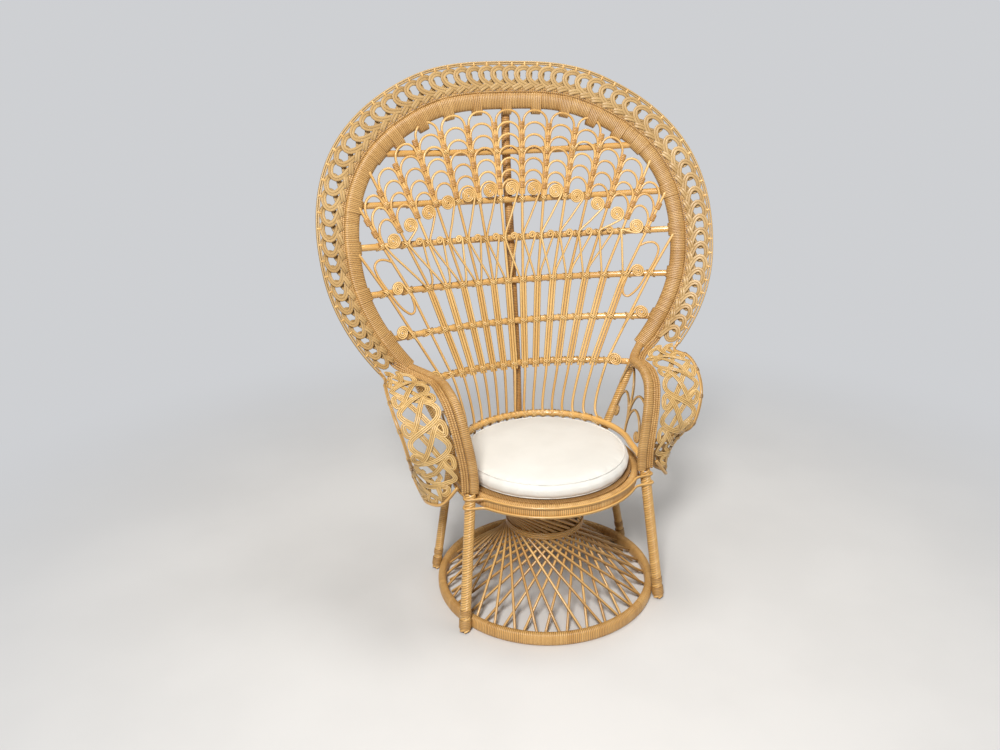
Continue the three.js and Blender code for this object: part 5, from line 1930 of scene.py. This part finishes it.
@dataclass
class Cushion:
    """The round seat cushion."""

    finishes: Finishes
    voxel: float = 0.005
    wide: float = 1.05
    shrink: float = 0.975
    pressure: float = 4.0
    frames: int = 20
    cap: float = 0.006
    seams: tuple[float, ...] = (0.1, 0.76)
    welt: float = 4.4
    welt_lift: float = 0.15
    edge_share: float = 0.93
    seam_band: float = 0.4

    def build(self) -> None:
        """Blow up the cushion from its solid and dress it."""
        source = bpy.data.objects["cushion"]
        data = source.data.copy()
        piece = placed("seat_cushion", data)
        self._merge(data)
        low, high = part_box("cushion")
        middle = (Vector(low) + Vector(high)) / 2
        self._swell(piece, middle, low[2])
        data = piece.data
        data.materials.clear()
        data.materials.append(self.finishes.cotton)
        data.shade_smooth()
        rounding = piece.modifiers.new("rounding", "SUBSURF")
        rounding.levels = 1
        rounding.render_levels = 1
        hand_over(piece, Slot.CLOTH, "cushion")
        self._welts(data, low, high)

    def _welts(self, data: Mesh, low: tuple[float, ...], high: tuple[float, ...]) -> None:
        """Sew a welt round the bottom edge and the top edge.

        Args:
            data: The mesh of the pad.
            low: The lowest corner of the solid.
            high: The highest corner of the solid.
        """
        spots = np.empty(len(data.vertices) * 3)
        data.vertices.foreach_get("co", spots)
        spots = spots.reshape(-1, 3)
        away = spots[:, :2] - (np.array(low[:2]) + np.array(high[:2])) / 2
        reach = np.linalg.norm(away, axis=1)
        near = reach > self.edge_share * reach.max()
        edge, beside = spots[near], reach[near]
        canes = []
        for share in self.seams:
            height = low[2] + share * (high[2] - low[2])
            weight = np.exp(-((edge[:, 2] - height) / (self.seam_band * self.voxel)) ** 2)
            radius = float((weight * beside).sum() / weight.sum()) / MM + self.welt_lift * self.welt
            canes.append(Cane(circle(radius, height / MM, 121)))
        loom = Loom("cushion_welts")
        loom.add(Section(self.welt, self.welt, 8), canes, self.finishes.cotton)
        loom.piece(Slot.CLOTH, "cushion")

    @staticmethod
    def _merge(data: Mesh) -> None:
        """Merge the solid's loose triangles."""
        mesh = bmesh.new()
        mesh.from_mesh(data)
        bmesh.ops.remove_doubles(mesh, verts=mesh.verts, dist=1e-5)
        bmesh.ops.recalc_face_normals(mesh, faces=mesh.faces)
        mesh.to_mesh(data)
        mesh.free()

    def _swell(self, piece: Object, middle: Vector, seat: float) -> None:
        """Remesh the pad and blow it up with cloth.

        Args:
            piece: The pad.
            middle: The middle of the room that it has.
            seat: The height of the seat that it lies flat on.
        """
        data = piece.data
        scale = Matrix.Diagonal((self.wide, self.wide, self.shrink, 1.0))
        data.transform(Matrix.Translation(middle) @ scale @ Matrix.Translation(-middle))
        data.remesh_voxel_size = self.voxel
        remesh = piece.modifiers.new("remesh", "REMESH")
        remesh.mode = "VOXEL"
        remesh.voxel_size = self.voxel
        self._apply(piece)
        start = np.empty(len(piece.data.vertices) * 3)
        piece.data.vertices.foreach_get("co", start)
        cloth = piece.modifiers.new("cloth", "CLOTH")
        cloth.settings.use_pressure = True
        cloth.settings.uniform_pressure_force = self.pressure
        cloth.settings.effector_weights.gravity = 0.0
        cloth.point_cache.frame_start = 1
        cloth.point_cache.frame_end = self.frames
        for frame in range(1, self.frames + 1):
            bpy.context.scene.frame_set(frame)
        self._apply(piece)
        bpy.context.scene.frame_set(1)
        end = np.empty_like(start)
        piece.data.vertices.foreach_get("co", end)
        start = start.reshape(-1, 3)
        move = end.reshape(-1, 3) - start
        far = np.linalg.norm(move, axis=1, keepdims=True)
        move *= np.minimum(1.0, self.cap / np.maximum(far, 1e-9))
        settled = start + move
        settled[:, 2] = np.maximum(settled[:, 2], seat)
        piece.data.vertices.foreach_set("co", settled.ravel())
        piece.data.update()

    @staticmethod
    def _apply(piece: Object) -> None:
        """Put the result of the modifiers in the mesh and remove them."""
        graph = bpy.context.evaluated_depsgraph_get()
        result = bpy.data.meshes.new_from_object(piece.evaluated_get(graph), depsgraph=graph)
        piece.modifiers.clear()
        piece.data = result


@dataclass(frozen=True)
class Studio:
    """The camera, the lights and the floor."""

    finishes: Finishes
    lens: float = 27.9
    place: tuple[float, float, float] = (-0.613, -1.964, 1.389)
    yaw: float = 13.87
    pitch: float = 19.38
    roll: float = -1.27
    floor_size: float = 40.0
    room_light: float = 0.2

    def build(self) -> None:
        """Set up the view, the light and the ground."""
        self._camera()
        self._lights()
        self._floor()

    def _camera(self) -> None:
        """Stand the camera where the view is taken from."""
        yaw, pitch, roll = (math.radians(angle) for angle in (self.yaw, self.pitch, self.roll))
        forward = Vector((math.sin(yaw) * math.cos(pitch), math.cos(yaw) * math.cos(pitch), -math.sin(pitch)))
        level = Vector((math.cos(yaw), -math.sin(yaw), 0.0))
        above = level.cross(forward)
        right = math.cos(roll) * level + math.sin(roll) * above
        up = math.cos(roll) * above - math.sin(roll) * level
        data = bpy.data.cameras.new("view")
        data.sensor_width = 36.0
        data.lens = self.lens
        camera = placed("view", data)
        place = Vector(self.place) - Vector((0.0, Loom.axis_y, 0.0))
        turn = Matrix((right, up, -forward)).transposed().to_4x4()
        camera.matrix_world = Matrix.Translation(place) @ turn
        bpy.context.scene.camera = camera

    def _lights(self) -> None:
        """Hang broad soft lights in a pale room."""
        for name, place, size, power in (
            ("key", (-1.9, -4.0, 4.6), 1.3, 405.0),
            ("fill", (3.4, -3.0, 2.2), 2.6, 22.0),
            ("top", (0.5, 0.5, 4.2), 1.4, 60.0),
        ):
            data = bpy.data.lights.new(name, "AREA")
            data.energy = power
            data.size = size
            light = placed(name, data)
            aim = Vector((0.0, 0.0, 0.7)) - Vector(place)
            light.rotation_euler = aim.to_track_quat("-Z", "Y").to_euler()
            light.location = place
        world = bpy.data.worlds.new("room")
        world.use_nodes = True
        bench = Bench(world.node_tree)
        background = world.node_tree.nodes["Background"]
        background.inputs[0].default_value = rgba(FloorFinish.room)
        seen = bench.node("LightPath").outputs["Is Camera Ray"]
        strength = bench.sum("MULTIPLY_ADD", seen, 1.0 - self.room_light, self.room_light)
        world.node_tree.links.new(strength, background.inputs[1])
        bpy.context.scene.world = world
        bpy.context.scene.view_settings.view_transform = "Standard"

    def _floor(self) -> None:
        """Lay the floor."""
        mesh = bmesh.new()
        bmesh.ops.create_grid(mesh, x_segments=8, y_segments=8, size=self.floor_size)
        data = bpy.data.meshes.new("floor")
        mesh.to_mesh(data)
        mesh.free()
        data.materials.append(self.finishes.floor)
        floor = placed("floor", data)


def main() -> None:
    """Build the chair around its frame."""
    logging.basicConfig(level=logging.INFO, format="%(name)s: %(message)s")
    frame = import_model()
    log.info("frame with %d nodes", len(frame["nodes"]))
    low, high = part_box("floor_ring")
    Loom.axis_y = -(low[1] + high[1]) / 2
    finishes = Finishes()
    draw = np.random.default_rng(SEED)
    Studio(finishes).build()
    Base(finishes, draw).build()
    legs = Legs(finishes, draw)
    legs.build()
    Seat(finishes, draw, legs).build()
    Hoop(finishes, draw).build()
    Border(finishes, draw).build()
    Rails(finishes, draw).build()
    Fan(finishes, draw).build()
    CentrePost(finishes).build()
    Arms(finishes, draw).build()
    Cushion(finishes).build()
    panel = bpy.data.objects["seat_panel"].data
    panel.materials.clear()
    panel.materials.append(finishes.panel)


if __name__ == "__main__":
    main()
